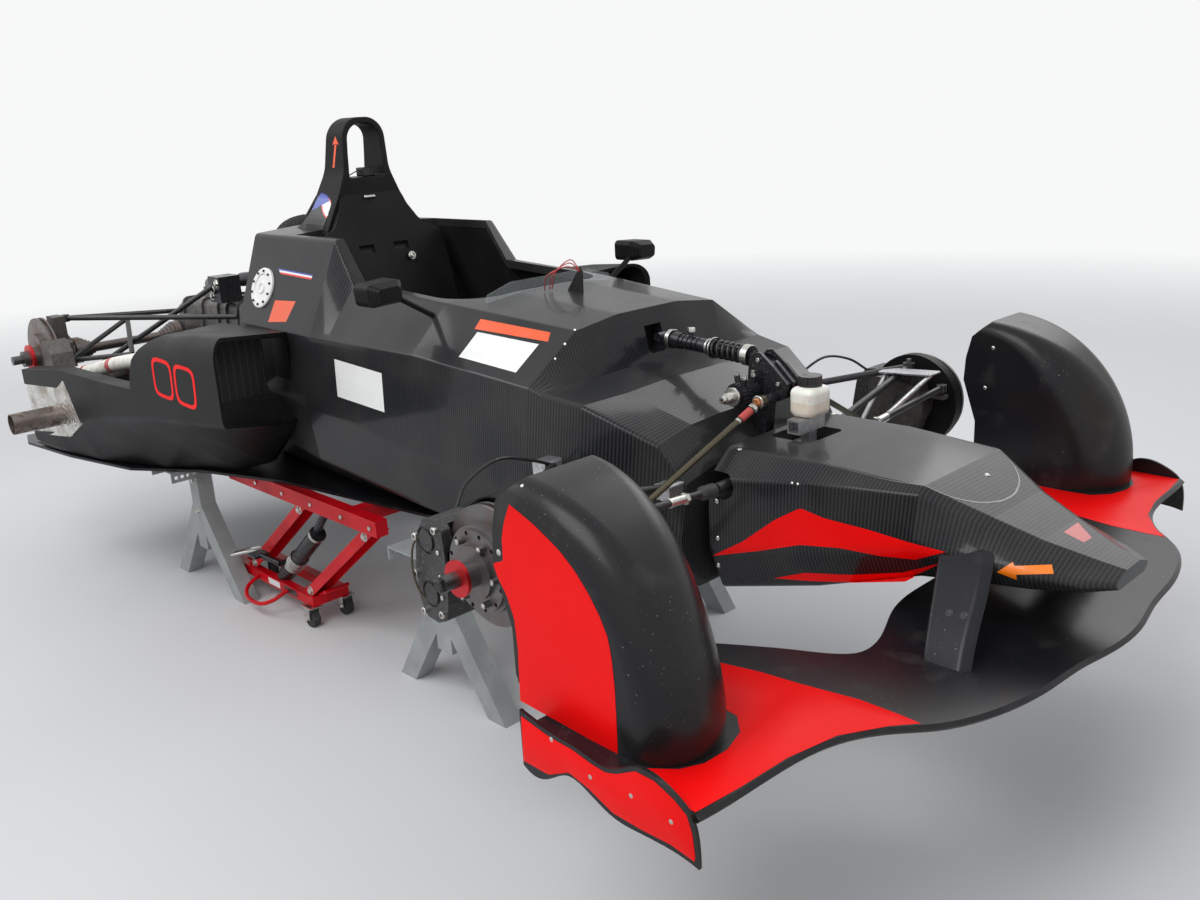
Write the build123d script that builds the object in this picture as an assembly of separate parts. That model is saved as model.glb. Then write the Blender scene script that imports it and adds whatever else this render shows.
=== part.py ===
from build123d import *
from math import cos, pi, sin, tan
import os

# A carbon single seat racing car on paddock stands, without its wheels and engine cover.
# Units are millimetres. X points forward, Y to the driver's left and Z up.
# Shapes are drawn from the front axle and the flat floor of the car; `export` moves
# them so that the floor under the stands is Z = 0 and the middle of the length X = 0.

FRONT_AXLE_X = 975.0       # front axle from the middle of the car's length
FLOOR_HEIGHT = 431.0       # flat floor of the car above the ground
WHEELBASE = 2600.0
GROUND = -FLOOR_HEIGHT
FIT = 0.3                  # running gap of a shaft in its bore

FRONT_HUB_Z = 200.0
KINGPIN_Y = 662.0
REAR_AXLE_X = -WHEELBASE
REAR_HUB_Z = 270.0

WALL = 22.0                # sandwich wall of the tub
SKIN = 5.0                 # single carbon skin of the pods and fenders

nodes = {}


def export(name, *solids):
    """Keep the solids of one node, moved from the car's axes to the ground."""
    shift = Location((FRONT_AXLE_X, 0, FLOOR_HEIGHT))
    nodes[name] = [piece.moved(shift) for shape in solids for piece in shape.solids()]


def mirrored(shape):
    """The same shape on the other side of the car."""
    return shape.mirror(Plane.XZ)


def rounded(points, radii):
    """A closed outline of straight lines whose corners are arcs of the given radii."""
    corners = []
    for i, (corner, radius) in enumerate(zip(points, radii)):
        if radius == 0:
            corners.append((corner, None, corner))
            continue
        back = (points[i - 1] - corner).normalized()
        ahead = (points[(i + 1) % len(points)] - corner).normalized()
        half_angle = back.get_angle(ahead) * pi / 360
        reach = radius / tan(half_angle)
        middle = corner + (back + ahead).normalized() * (radius / sin(half_angle) - radius)
        corners.append((corner + back * reach, middle, corner + ahead * reach))
    edges = []
    for i, (start, middle, end) in enumerate(corners):
        if middle is not None:
            edges.append(Edge.make_three_point_arc(start, middle, end))
        edges.append(Edge.make_line(end, corners[(i + 1) % len(corners)][0]))
    return Wire(edges)


def section(x, half, radii=None):
    """A closed outline across the car at X, from (y, z) points of its left half."""
    radii = radii or [0.0] * len(half)
    pairs = list(zip(half, radii))
    points = [(Vector(x, y, z), radius) for (y, z), radius in pairs]
    points += [(Vector(x, -y, z), radius) for (y, z), radius in reversed(pairs) if y > 0]
    return rounded([point for point, radius in points], [radius for point, radius in points])


def lofted(wires):
    """A body with straight lines from each section to the next."""
    return Solid.make_loft(wires, ruled=True)


def slab(points, start, depth):
    """A flat outline of 3-D points, at the offset start, given the depth as a vector."""
    outline = Wire.make_polygon([Vector(*p) + Vector(*start) for p in points], close=True)
    return Solid.extrude(Face(outline), Vector(*depth))


def plan_plate(points, low, high):
    """An outline of (x, y) points between two heights."""
    return slab([(x, y, low) for x, y in points], (0, 0, 0), (0, 0, high - low))


def side_plate(points, y_near, y_far):
    """An outline of (x, z) points between two distances from the middle of the car."""
    return slab([(x, y_near, z) for x, z in points], (0, 0, 0), (0, y_far - y_near, 0))


def front_plate(points, x_back, x_front):
    """An outline of (y, z) points between two stations."""
    return slab([(x_back, y, z) for y, z in points], (0, 0, 0), (x_front - x_back, 0, 0))


def block(x0, x1, y0, y1, z0, z1):
    """A box between two corners."""
    return Solid.make_box(x1 - x0, y1 - y0, z1 - z0, Plane((x0, y0, z0)))


def rod(start, end, radius):
    """A round bar from one point to another."""
    start = Vector(*start)
    along = Vector(*end) - start
    return Solid.make_cylinder(radius, along.length, Plane(origin=start, z_dir=along))


def turned_y(x, z, steps):
    """Discs along Y on one axle; steps are (y start, y end, radius)."""
    shape = None
    for y0, y1, radius in steps:
        disc = Solid.make_cylinder(radius, y1 - y0, Plane(origin=(x, y0, z), z_dir=(0, 1, 0)))
        shape = disc if shape is None else shape + disc
    return shape


def largest(shape):
    """The largest solid of a cut shape, without the ends that were cut loose."""
    return max(shape.solids(), key=lambda piece: piece.volume)


# The tub: a faceted carbon shell, widest at the waist, with the driver's space inside.
# Columns: station, foot y, sill (y, z), waist (y, z), chine (y, z), rail (y, z), crown (y, z).
TUB = [
    (-1660, 280, (345, 120), (380, 270), (355, 430), (264, 682), (120, 692)),
    (-1195, 300, (400, 90), (420, 250), (385, 432), (272, 680), (120, 690)),
    (-1108, 302, (400, 84), (420, 245), (385, 434), (282, 566), (120, 576)),
    (-720, 305, (400, 58), (420, 215), (385, 438), (268, 545), (110, 562)),
    (-296, 292, (385, 34), (412, 170), (383, 412), (232, 512), (100, 529)),
    (-262, 288, (380, 32), (408, 168), (376, 404), (226, 404), (100, 410)),
    (-157, 276, (362, 26), (386, 160), (358, 388), (218, 388), (100, 394)),
    (-5, 245, (300, 17), (314, 136), (290, 312), (188, 334), (90, 339)),
    (50, 235, (282, 14), (290, 120), (268, 235), (180, 254), (90, 259)),
]
TUB_RADII = (14, 24, 40, 10, 16, 150)
TUB_BACK = TUB[0][0]
TUB_FRONT = TUB[-1][0]
COCKPIT_BACK = -1455.0
COCKPIT_FRONT = -645.0
COCKPIT_HALF = 246.0
COCKPIT_CORNER = 150.0
# The rear clevis of the front damper sits in a pocket of the slanted panel.
POCKET = (-316.0, -250.0, -28.0, 28.0, 426.0, 490.0)


def tub_wire(row, wall):
    """One section of the tub, drawn in by the wall."""
    x, foot, sill, waist, chine, rail, crown = row
    half = [(foot - wall, wall)]
    half += [(y - wall, z) for y, z in (sill, waist)]
    half += [(chine[0] - wall, chine[1] - wall / 2), (rail[0] - wall, rail[1] - wall)]
    half += [(crown[0], crown[1] - wall)]
    return section(x, half, TUB_RADII if wall == 0 else None)


def tub_body():
    shell = lofted([tub_wire(row, 0.0) for row in TUB])
    hollow = lofted([tub_wire(row, WALL) for row in TUB])
    room = block(COCKPIT_BACK, TUB_FRONT - WALL, -500, 500, -10, 900)
    mouth = block(COCKPIT_BACK, COCKPIT_FRONT, -COCKPIT_HALF, COCKPIT_HALF, 380, 900)
    front_corners = mouth.edges().filter_by(Axis.Z).sort_by(Axis.X)[-2:]
    mouth = mouth.fillet(COCKPIT_CORNER, front_corners)
    pocket = block(*POCKET)
    pocket = pocket.fillet(12, pocket.edges().filter_by(Axis.X).sort_by(Axis.Z)[:2])
    pocket_wall = block(POCKET[0] - 6, POCKET[1] + 20, POCKET[2] - 6, POCKET[3] + 6, POCKET[4] - 6, 600)
    return shell - ((hollow & room) - pocket_wall) - mouth - pocket


tub = tub_body()

# The seat back bulkhead leans against the back of the cockpit and stands above its sides.
# Columns: distance from the middle, distance up the leaning panel, corner radius.
SEAT_LEAN = 15 * pi / 180
SEAT_FOOT = Vector(-1243.0, 0.0, 120.0)
SEAT_THICK = 18.0
SEAT_HALF = [(222, 0, 0), (222, 556, 40), (150, 590, 50), (116, 646, 60), (104, 686, 26)]


def leaning_panel(half, start, depth):
    """A rounded outline on the seat's leaning plane, from one distance behind it to another."""
    up = Vector(-sin(SEAT_LEAN), 0, cos(SEAT_LEAN))
    back = Vector(-cos(SEAT_LEAN), 0, -sin(SEAT_LEAN))
    pairs = half + [(-y, s, r) for y, s, r in reversed(half)]
    points = [SEAT_FOOT + Vector(0, y, 0) + up * s + back * start for y, s, r in pairs]
    return Solid.extrude(Face(rounded(points, [r for y, s, r in pairs])), back * depth)


def seat_bulkhead():
    """The panel with a slot for the belts and two sockets for their bolts."""
    panel = leaning_panel(SEAT_HALF, 0.0, SEAT_THICK)
    up = Vector(-sin(SEAT_LEAN), 0, cos(SEAT_LEAN))
    back = Vector(-cos(SEAT_LEAN), 0, -sin(SEAT_LEAN))
    for y in (-60, 60):
        slot = SEAT_FOOT + Vector(0, y, 0) + up * 520
        panel = panel - rod(slot - back * 9 - Vector(0, 26, 0), slot - back * 9 + Vector(0, 26, 0), 16)
    return panel


seat = seat_bulkhead() - tub

# The roll hoop: a deep thin walled carbon arch that flares into the seat back, on a fairing.
# Columns: half width, height, corner radius of the arch's outside and of its gap.
HOOP_OUTER = [(168, 650, 0), (152, 696, 60), (107, 783, 90), (78, 850, 120), (70, 999, 62)]
HOOP_GAP = [(61, 828, 8), (58, 900, 200), (52, 981, 47)]
HOOP_FRONT = -1425.0
HOOP_BACK = [(-1552, 600), (-1552, 770), (-1500, 1010), (-1300, 1010), (-1300, 600)]


def hoop_arch(half, x_back, x_front):
    """An arch drawn by its right half, from one station to another."""
    pairs = half + [(-y, z, r) for y, z, r in reversed(half)]
    outline = rounded([Vector(x_back, y, z) for y, z, r in pairs], [r for y, z, r in pairs])
    return Solid.extrude(Face(outline), Vector(x_front - x_back, 0, 0))


def roll_hoop():
    blade = hoop_arch(HOOP_OUTER, -1600, HOOP_FRONT) & side_plate(HOOP_BACK, -300, 300)
    blade = blade - hoop_arch(HOOP_GAP, -1650, HOOP_FRONT + 50)
    rims = [edge for edge in blade.edges() if abs(edge.center().X - HOOP_FRONT) < 1 and edge.center().Z > 780]
    return blade.fillet(4, rims)


# Columns: station, foot (y, z), waist (y, z), shoulder (y, z), crown (y, z).
FAIRING = [
    (-1450, (174, 640), (152, 700), (108, 778), (50, 800)),
    (-1540, (178, 640), (158, 702), (116, 788), (52, 812)),
    (-1620, (168, 640), (150, 700), (110, 762), (46, 784)),
    (-1690, (138, 640), (126, 676), (88, 716), (34, 732)),
    (-1722, (108, 640), (100, 660), (70, 684), (26, 694)),
]
FAIRING_RADII = (0, 34, 40, 40)
# The air box takes its air through a round cut in the right side of the fairing.
SCOOP = [(-1520, 800, 10), (-1532, 742, 60), (-1580, 696, 60), (-1700, 668, 20), (-1800, 690, 10),
         (-1700, 900, 10)]


def fairing_form(inset):
    rows = [(x, [(y - inset, z - inset * (z > 640)) for y, z in half]) for x, *half in FAIRING]
    return lofted([section(x, half, FAIRING_RADII) for x, half in rows])


def hoop_fairing():
    """A shell round the air box, hollow behind the hoop's legs and cut open on the right."""
    outline = rounded([Vector(x, -400, z) for x, z, r in SCOOP], [r for x, z, r in SCOOP])
    cut = Solid.extrude(Face(outline), Vector(0, 330, 0))
    inside = fairing_form(SKIN) & block(-1716, -1536, -400, 400, 600, 900)
    return largest(fairing_form(0.0) - inside - cut)


fairing = largest(hoop_fairing() - tub - seat)
hoop = largest(roll_hoop() - fairing - seat - tub)

# The nose box: a flat topped cone that ends in a rounded chisel.
# Columns: station, belly (y, z), flank (y, z), shoulder (y, z), crest (y, z).
NOSE = [
    (80, (195, -12), (236, 95), (236, 243), (168, 297)),
    (300, (172, 44), (212, 130), (204, 271), (160, 300)),
    (510, (146, 114), (182, 182), (162, 280), (142, 291)),
    (620, (130, 126), (160, 176), (118, 228), (94, 241)),
    (700, (118, 132), (144, 172), (96, 200), (72, 212)),
    (780, (92, 140), (114, 163), (68, 178), (44, 188)),
    (830, (54, 146), (72, 160), (46, 170), (28, 175)),
]
NOSE_RADII = ((26, 60, 14, 24), (24, 60, 14, 24), (22, 50, 10, 10), (20, 20, 12, 12), (20, 20, 12, 12),
              (12, 10, 8, 8), (8, 6, 5, 5))
NOSE_BACK = NOSE[0][0]
RACK_X = 112.0
RACK_Z = 232.0
RACK_TUNNEL = 26.0
POT_WELL = (100.0, 205.0, -62.0, 62.0, 264.0)


def nose_box():
    wires = [section(row[0], row[1:], radii) for row, radii in zip(NOSE, NOSE_RADII)]
    body = lofted(wires)
    tunnel = rod((RACK_X, -400, RACK_Z), (RACK_X, 400, RACK_Z), RACK_TUNNEL)
    notch = block(NOSE_BACK - 10, RACK_X, -400, 400, RACK_Z - RACK_TUNNEL, RACK_Z + RACK_TUNNEL)
    x0, x1, y0, y1, z0 = POT_WELL
    well = block(x0, x1, y0, y1, z0, 400)
    well = well.fillet(16, well.edges().filter_by(Axis.Z))
    return body - tunnel - notch - well


nose = nose_box()

# The front wing: one swept plate under the nose, between two end plates.
WING_LOW = 34.0
WING_HIGH = 46.0
WING_TIP = 893.0
LEADING = [(618, WING_TIP), (626, 800), (631, 700), (651, 603), (695, 529), (738, 481), (766, 436),
           (797, 350), (813, 260), (822, 150), (837, 60)]
TRAILING = [(455, 0), (457, 106), (470, 170), (505, 259), (520, 314), (516, 356), (488, 385), (422, 419),
            (355, 456), (305, 486), (258, 520)]
WING_ROOT = 258.0


def smooth_edge(points, z):
    """A smooth line through (x, y) points at one height."""
    return Edge.make_spline([Vector(x, y, z) for x, y in points])


def wing_outline(z, back):
    """The wing's closed outline at a height, its leading edge drawn back by a distance."""
    lead = [(x - back, y) for x, y in LEADING] + [(x - back, -y) for x, y in reversed(LEADING)]
    trail = [(x, -y) for x, y in reversed(TRAILING[1:])] + TRAILING
    corners = [Vector(lead[0][0], WING_TIP, z), Vector(WING_ROOT, WING_TIP, z),
               Vector(WING_ROOT, TRAILING[-1][1], z)]
    far = [Vector(p.X, -p.Y, p.Z) for p in corners]
    edges = [smooth_edge(lead, z), Edge.make_line(far[0], far[1]), Edge.make_line(far[1], far[2]),
             smooth_edge(trail, z), Edge.make_line(corners[2], corners[1]), Edge.make_line(corners[1], corners[0])]
    return Wire(edges)


def front_wing():
    """A swept plate with smooth edges, whose leading edge is bevelled above and below."""
    middle = (WING_LOW + WING_HIGH) / 2
    return lofted([wing_outline(WING_LOW, 5), wing_outline(middle, 0), wing_outline(WING_HIGH, 8)])


wing = front_wing()

# Columns: x, z along the upper edge of an end plate, then along its lower edge.
PLATE_UPPER = [(250, 74), (283, 67), (321, 61), (370, 59), (412, 53), (441, 51), (466, 59), (504, 79),
               (541, 80), (578, 66), (605, 46), (616, 18), (619, -20)]
PLATE_LOWER = [(619, -34), (567, -27), (509, -29), (453, -28), (402, -9), (360, 1), (311, -25), (250, -25)]
PLATE_THICK = 6.0


def wing_end_plate():
    """A thin plate between two smooth edges."""
    upper = Edge.make_spline([Vector(x, WING_TIP, z) for x, z in PLATE_UPPER])
    lower = Edge.make_spline([Vector(x, WING_TIP, z) for x, z in PLATE_LOWER])
    nose_edge = Edge.make_line(upper @ 1, lower @ 0)
    tail_edge = Edge.make_line(lower @ 1, upper @ 0)
    return Solid.extrude(Face(Wire([upper, nose_edge, lower, tail_edge])), Vector(0, PLATE_THICK, 0))


end_plate = wing_end_plate()

# Two pylons hang the wing under the nose and bow outwards.
# Columns: x back, x front, y, z at each level from the nose down.
PYLON = [
    (544, 644, 122, 200),
    (564, 668, 176, 160),
    (582, 680, 222, 119),
    (597, 690, 262, 82),
    (610, 700, 294, WING_HIGH),
]
PYLON_THICK = 30.0
PYLON_NIB = 22.0


def pylon():
    wires = []
    for back, front, y, z in PYLON:
        inner = y - PYLON_THICK / 2
        outer = y + PYLON_THICK / 2
        ring = [Vector(back, inner, z), Vector(back, outer, z), Vector(front - PYLON_NIB, outer, z),
                Vector(front, y, z), Vector(front - PYLON_NIB, inner, z)]
        wires.append(rounded(ring, (9, 9, 12, 8, 12)))
    return Solid.make_loft(wires)


left_pylon = pylon() - nose

# A front fender: a quarter shell over the wheel that stands on the wing, open behind and below.
FENDER_INNER = 655.0
FENDER_OUTER = 855.0
FENDER_CENTRE = (185.0, 88.0)
FENDER_R = 345.6
# Columns: angle above the front, outer and inner corner radius.
FENDER = [(-14, 76, 122), (12, 74, 122), (34, 66, 110), (56, 54, 70), (78, 44, 36), (100, 36, 30)]
FENDER_BACK = [(193, 0), (193, 180), (158, 283), (162, 340), (176, 394), (214, 428), (240, 470),
               (700, 470), (700, WING_HIGH), (193, WING_HIGH)]


def fender_form(inset):
    """The fender as a solid whose faces are drawn in by the inset."""
    x0, z0 = FENDER_CENTRE
    wires = []
    for angle, outer_r, inner_r in FENDER:
        turn = angle * pi / 180
        points = []
        for reach, y in ((12, FENDER_INNER + inset), (FENDER_R - inset, FENDER_INNER + inset),
                         (FENDER_R - inset, FENDER_OUTER - inset), (12, FENDER_OUTER - inset)):
            points.append(Vector(x0 + reach * cos(turn), y, z0 + reach * sin(turn)))
        wires.append(rounded(points, (0, inner_r - inset, outer_r - inset, 0)))
    return Solid.make_loft(wires)


def fender():
    keep = side_plate(FENDER_BACK, FENDER_INNER - 20, FENDER_OUTER + 20)
    inside = fender_form(SKIN)
    room = inside + inside.moved(Location((-60, 0, 0))) + inside.moved(Location((0, 0, -30)))
    return largest((fender_form(0.0) & keep) - room)


left_fender = fender()

# The side pods: a carbon duct whose mouth is swept back to the tub, with an undercut flank, cut
# open behind the coolers. Columns: outer and inner station, inner y and top z, outer y and top z,
# shoulder radius, crease z, foot (y, z).
POD = [
    (-1000, -1310, 390, 438, 750, 512, 56, 292, (414, 182)),
    (-1180, -1400, 390, 436, 751, 502, 60, 274, (406, 100)),
    (-1300, -1480, 390, 434, 752, 486, 60, 262, (416, 36)),
    (-1440, -1600, 392, 430, 753, 474, 60, 248, (470, 6)),
    (-1620, -1720, 392, 428, 754, 468, 60, 222, (520, 6)),
    (-1800, -1800, 392, 426, 755, 466, 60, 192, (598, 6)),
    (-2060, -2060, 410, 426, 757, 466, 60, 136, (694, 6)),
    (-2300, -2300, 440, 426, 759, 466, 60, 78, (738, 6)),
    (-2459, -2459, 500, 426, 760, 466, 60, 46, (754, 6)),
]
LIP = 12.0
# The skin ends behind on this line of the outer side; towards the tub the line runs back.
POD_CUT = [(-1330, 900), (-1330, 478), (-1384, 462), (-1440, 437), (-1488, 404), (-1516, 366), (-1534, 318)]
SHELF = [(-1534, 318), (-1777, 309), (-2076, 304), (-2421, 265), (-2600, 250), (-2600, 900)]
CUT_LEAN = Vector(-260.0, -400.0, 0.0)
SHELF_EDGE = 706.0


def pod_wire(row, inset):
    """One section of a pod, upright but turned in plan, drawn in by the inset."""
    x_out, x_in, inner, inner_top, outer, outer_top, radius, crease, foot = row
    ring = [(foot[0] + inset * 0.4, foot[1] + inset), (inner + inset, foot[1] + inset),
            (inner + inset, inner_top - inset), (outer - inset, outer_top - inset), (outer - inset, crease + inset * 0.3)]
    points = [Vector(x_out + (x_in - x_out) * (outer - y) / (outer - inner), y, z) for y, z in ring]
    return rounded(points, (0, 0, 0, radius - inset, 26 - inset))


def side_pod():
    outside = lofted([pod_wire(row, 0.0) for row in POD])
    inside = lofted([pod_wire(row, LIP if row is POD[0] else SKIN) for row in POD])
    above = slab([(x, 770, z) for x, z in POD_CUT + SHELF[1:]], (0, 0, 0), CUT_LEAN)
    under_shelf = slab([(x, 770, z - SKIN) for x, z in SHELF] + [(SHELF[0][0], 770, 900)], (0, 0, 0), CUT_LEAN)
    roof = block(POD[-1][0] - 50, SHELF[0][0] - 6, 380, SHELF_EDGE, 240, 322)
    return largest(outside - (inside - under_shelf) - above - roof)


left_pod = largest(side_pod() - tub)

# The flat floor, a thin board under the tub and pods that widens to the rear wheels.
FLOOR_THICK = 8.0
FLOOR_HALF = [(-560, 300), (-1380, 430), (-1693, 536), (-1903, 666), (-2227, 733),
              (-2531, 767), (-2637, 737), (-2637, 300), (-2500, 180)]


def floor_board():
    other = [(x, -y) for x, y in reversed(FLOOR_HALF)]
    return plan_plate(FLOOR_HALF + other, -FLOOR_THICK, 0.0)


floor_pan = floor_board()
left_pod = largest(left_pod - floor_pan)

# The engine: a ribbed block with its sump, a head, a rounded cam cover and four intake runners
# from a plenum on the left. The gearbox is bolted on behind it.
ENGINE_X = (-2096.0, TUB_BACK)
CYLINDERS = [-1990.0, -1900.0, -1810.0, -1720.0]


def engine_block():
    body = front_plate([(-120, 30), (120, 30), (150, 90), (150, 210), (112, 250), (-112, 250), (-150, 210),
                        (-150, 90)], *ENGINE_X)
    body = body + block(-2050, TUB_BACK - 10, -96, 96, 250, 372)
    body = body + block(-2062, TUB_BACK - 4, -104, 104, 372, 420)
    cover = block(-2040, TUB_BACK - 24, -92, 92, 420, 474)
    body = body + cover.fillet(22, cover.edges().filter_by(Axis.X).sort_by(Axis.Z)[-2:])
    for x in CYLINDERS:
        body = body + block(x - 5, x + 5, -158, 158, 60, 240)
        body = body + rod((x, -40, 470), (x, -40, 482), 14) + rod((x, 40, 470), (x, 40, 482), 14)
    return body + rod((ENGINE_X[0] - 4, 0, 150), (ENGINE_X[0] + 30, 0, 150), 118)


def plenum():
    """A long rounded chamber beside the head, fed at its front and joined by four runners."""
    box = block(-2030, -1690, 196, 300, 330, 420)
    box = box.fillet(30, box.edges().filter_by(Axis.X))
    for x in CYLINDERS:
        box = box + rod((x, 90, 392), (x, 220, 380), 19)
    return box + rod((-1700, 248, 376), (TUB_BACK - 6, 248, 376), 30)


engine = engine_block()
intake = largest(plenum() - engine - tub)
# Columns: station, half width and z at the foot, half width and z at the top.
GEARBOX = [
    (-2100, 150, 60, 130, 420),
    (-2230, 118, 96, 96, 396),
    (-2420, 112, 110, 92, 396),
    (-2700, 96, 150, 78, 380),
    (-2790, 74, 190, 62, 350),
]
GEARBOX_RIBS = [-2160.0, -2290.0, -2360.0, -2500.0, -2680.0]


def gearbox_case():
    """A tapered casting with a bell in front, raised ribs round it and two round side covers."""
    wires = [section(x, [(low_y, low_z), (high_y, high_z)], (20, 24))
             for x, low_y, low_z, high_y, high_z in GEARBOX]
    grown = [section(x, [(low_y + 8, low_z - 8), (high_y + 8, high_z + 8)], (24, 28))
             for x, low_y, low_z, high_y, high_z in GEARBOX]
    case = lofted(wires)
    rings = lofted(grown)
    for x in GEARBOX_RIBS:
        case = case + (rings & block(x - 5, x + 5, -300, 300, 0, 600))
    case = case + rod((REAR_AXLE_X, -146, REAR_HUB_Z), (REAR_AXLE_X, 146, REAR_HUB_Z), 66)
    return case + block(-2560, -2470, -50, 50, 390, 432)


gearbox = gearbox_case() - engine

# The exhaust leaves the engine's right side, bends back and passes out through the pod's side in
# front of the rear wheel.
EXHAUST_X = -2215.0
EXHAUST_Z = 140.0
EXHAUST_TIP = -888.0
EXHAUST_R = 33.0
EXHAUST_PATH = [(-1850, -88, 300), (-1870, -260, 250), (-2010, -430, 170), (EXHAUST_X, -640, EXHAUST_Z)]


def exhaust_pipe():
    pipe = rod((EXHAUST_X, -600, EXHAUST_Z), (EXHAUST_X, EXHAUST_TIP, EXHAUST_Z), EXHAUST_R)
    pipe = pipe - rod((EXHAUST_X, -620, EXHAUST_Z), (EXHAUST_X, EXHAUST_TIP - 5, EXHAUST_Z), EXHAUST_R - 2.5)
    for start, end in zip(EXHAUST_PATH, EXHAUST_PATH[1:]):
        pipe = pipe + rod(start, end, 26)
    for x, y, z in EXHAUST_PATH[1:-1]:
        pipe = pipe + Solid.make_sphere(26, angle1=-90).moved(Location((x, y, z)))
    for x in CYLINDERS:
        pipe = pipe + rod((x, -80, 330), EXHAUST_PATH[1], 17)
    return pipe


exhaust = largest(exhaust_pipe() - engine)
right_pod = mirrored(left_pod)
for start, end in zip(EXHAUST_PATH[1:], EXHAUST_PATH[2:]):
    right_pod = right_pod - rod(start, end, 32)
# The right pod's side is open between its shelf and its foot; foil closes the gap round the pipe.
PIPE_GAP = [(-2077, 277), (-1990, 152), (-2118, 98), (-2500, 44), (-2500, 214), (-2444, 214), (-2156, 240)]
FOIL = [(-2069, 292), (-1976, 152), (-2114, 86), (-2456, 40), (-2456, 226), (-2156, 254)]
right_pod = largest(right_pod - side_plate(PIPE_GAP, -800, -735))
heat_shield = side_plate(FOIL, -755, -750) - rod((EXHAUST_X, -700, EXHAUST_Z), (EXHAUST_X, -800, EXHAUST_Z), EXHAUST_R)
heat_shield = largest(heat_shield - right_pod)

# Mirrors on thin stalks from the deck sides.
MIRROR_X = (-786.0, -704.0)


def mirror_pod():
    face = [(384, 566), (478, 562), (482, 616), (384, 622)]
    front = [(404, 574), (462, 572), (466, 606), (404, 610)]
    wires = [rounded([Vector(x, y, z) for y, z in ring], [radius] * 4)
             for x, ring, radius in ((MIRROR_X[0], face, 14), (-730, face, 14), (MIRROR_X[1], front, 10))]
    shell = lofted(wires)
    stalk = rod((-735, 300, 520), (-735, 400, 580), 7)
    return (shell + stalk) - tub


left_mirror = mirror_pod()

# A low clear screen on the deck in front of the cockpit.
screen = front_plate([(-226, 500), (226, 500), (206, 562), (130, 584), (-130, 584), (-206, 562)], -636, -632) - tub
screen = screen.solids().sort_by(Axis.Z)[-1]

# Front wishbones: two legs from the tub to an eye round the kingpin stud of each upright.
ARM_R = 9.0
EYE_R = 15.0
STUD_R = 6.0
UPPER_EYE_Z = (284.0, 306.0)
LOWER_EYE_Z = (92.0, 114.0)
# Columns: eye heights, front pick-up, rear pick-up.
FRONT_ARMS = [
    (UPPER_EYE_Z, (25, 272, 225), (-220, 386, 258)),
    (LOWER_EYE_Z, (25, 280, 60), (-300, 384, 62)),
]


def front_wishbone(eye_z, front, rear):
    low, high = eye_z
    end = (0, KINGPIN_Y, (low + high) / 2)
    arm = rod(front, end, ARM_R) + rod(rear, end, ARM_R)
    arm = arm + rod((0, KINGPIN_Y, low), (0, KINGPIN_Y, high), EYE_R)
    bore = rod((0, KINGPIN_Y, low - 5), (0, KINGPIN_Y, high + 5), STUD_R + FIT)
    caps = block(-30, 30, KINGPIN_Y - 30, KINGPIN_Y + 30, low - 20, low)
    caps = caps + block(-30, 30, KINGPIN_Y - 30, KINGPIN_Y + 30, high, high + 20)
    return largest(arm - bore - caps - tub)


front_arms = [front_wishbone(*row) for row in FRONT_ARMS]


def pickup_brackets():
    """A machined block on the tub round the inner end of each leg."""
    brackets = []
    for arm, (eye_z, front, rear) in zip(front_arms, FRONT_ARMS):
        for x, y, z in (front, rear):
            clevis = block(x - 20, x + 20, y - 10, y + 44, z - 17, z + 17)
            clevis = clevis.fillet(6, clevis.edges().filter_by(Axis.Y))
            brackets.append(largest(clevis - tub - arm))
    return brackets


brackets = pickup_brackets()

# Front springing on top of the tub: one coil damper along the car works both wheels through a
# ribbed rocker, and a cross unit on the rocker's pin takes the roll.
DAMPER_BACK = Vector(-225.0, 0.0, 461.0)
DAMPER_FRONT = Vector(36.0, 0.0, 446.0)
DAMPER_AXIS = (DAMPER_FRONT - DAMPER_BACK).normalized()
# Columns: start along the damper from its rear collar, end, radius.
DAMPER_STEPS = [
    (-34, 250, 6.5), (-4, 8, 22), (8, 34, 19), (34, 112, 16.5), (112, 118, 18), (126, 132, 23.5),
    (118, 214, 12.5), (216, 234, 22), (234, 246, 12),
]
DAMPER_GROOVES = [(44, 48), (58, 62), (72, 76), (86, 90)]
SPRING_START = 132.0
SPRING_END = 216.0
SPRING_TURNS = 5.5
SPRING_R = 18.2
SPRING_WIRE = 3.2


def along_damper(start, end, radius):
    """A round bar on the damper's axis."""
    return rod(DAMPER_BACK + DAMPER_AXIS * start, DAMPER_BACK + DAMPER_AXIS * end, radius)


def front_damper():
    body = None
    for step in DAMPER_STEPS:
        piece = along_damper(*step)
        body = piece if body is None else body + piece
    for start, end in DAMPER_GROOVES:
        body = body - (along_damper(start, end, 30) - along_damper(start, end, 14.5))
    knob = DAMPER_BACK + DAMPER_AXIS * 62
    body = body + rod(knob, knob + Vector(0, 0, 30), 6) + rod(knob + Vector(0, 0, 24), knob + Vector(0, 0, 34), 8)
    eye = DAMPER_BACK - DAMPER_AXIS * 34
    return body + rod(eye - Vector(0, 11, 0), eye + Vector(0, 11, 0), 11)


def coil_spring():
    """A round wire wound on the damper, cut flat where it sits on its two seats."""
    height = SPRING_END - SPRING_START
    pitch = height / SPRING_TURNS
    base = DAMPER_BACK + DAMPER_AXIS * SPRING_START
    path = Edge.make_helix(pitch, height, SPRING_R, base, DAMPER_AXIS)
    start = Plane(origin=path @ 0, z_dir=path % 0)
    wire = Solid.sweep(Face(Wire(Edge.make_circle(SPRING_WIRE, start))), path)
    return wire - along_damper(SPRING_START - 10, SPRING_START, 40) - along_damper(SPRING_END, SPRING_END + 10, 40)


damper = front_damper()
spring = coil_spring() - damper

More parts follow.
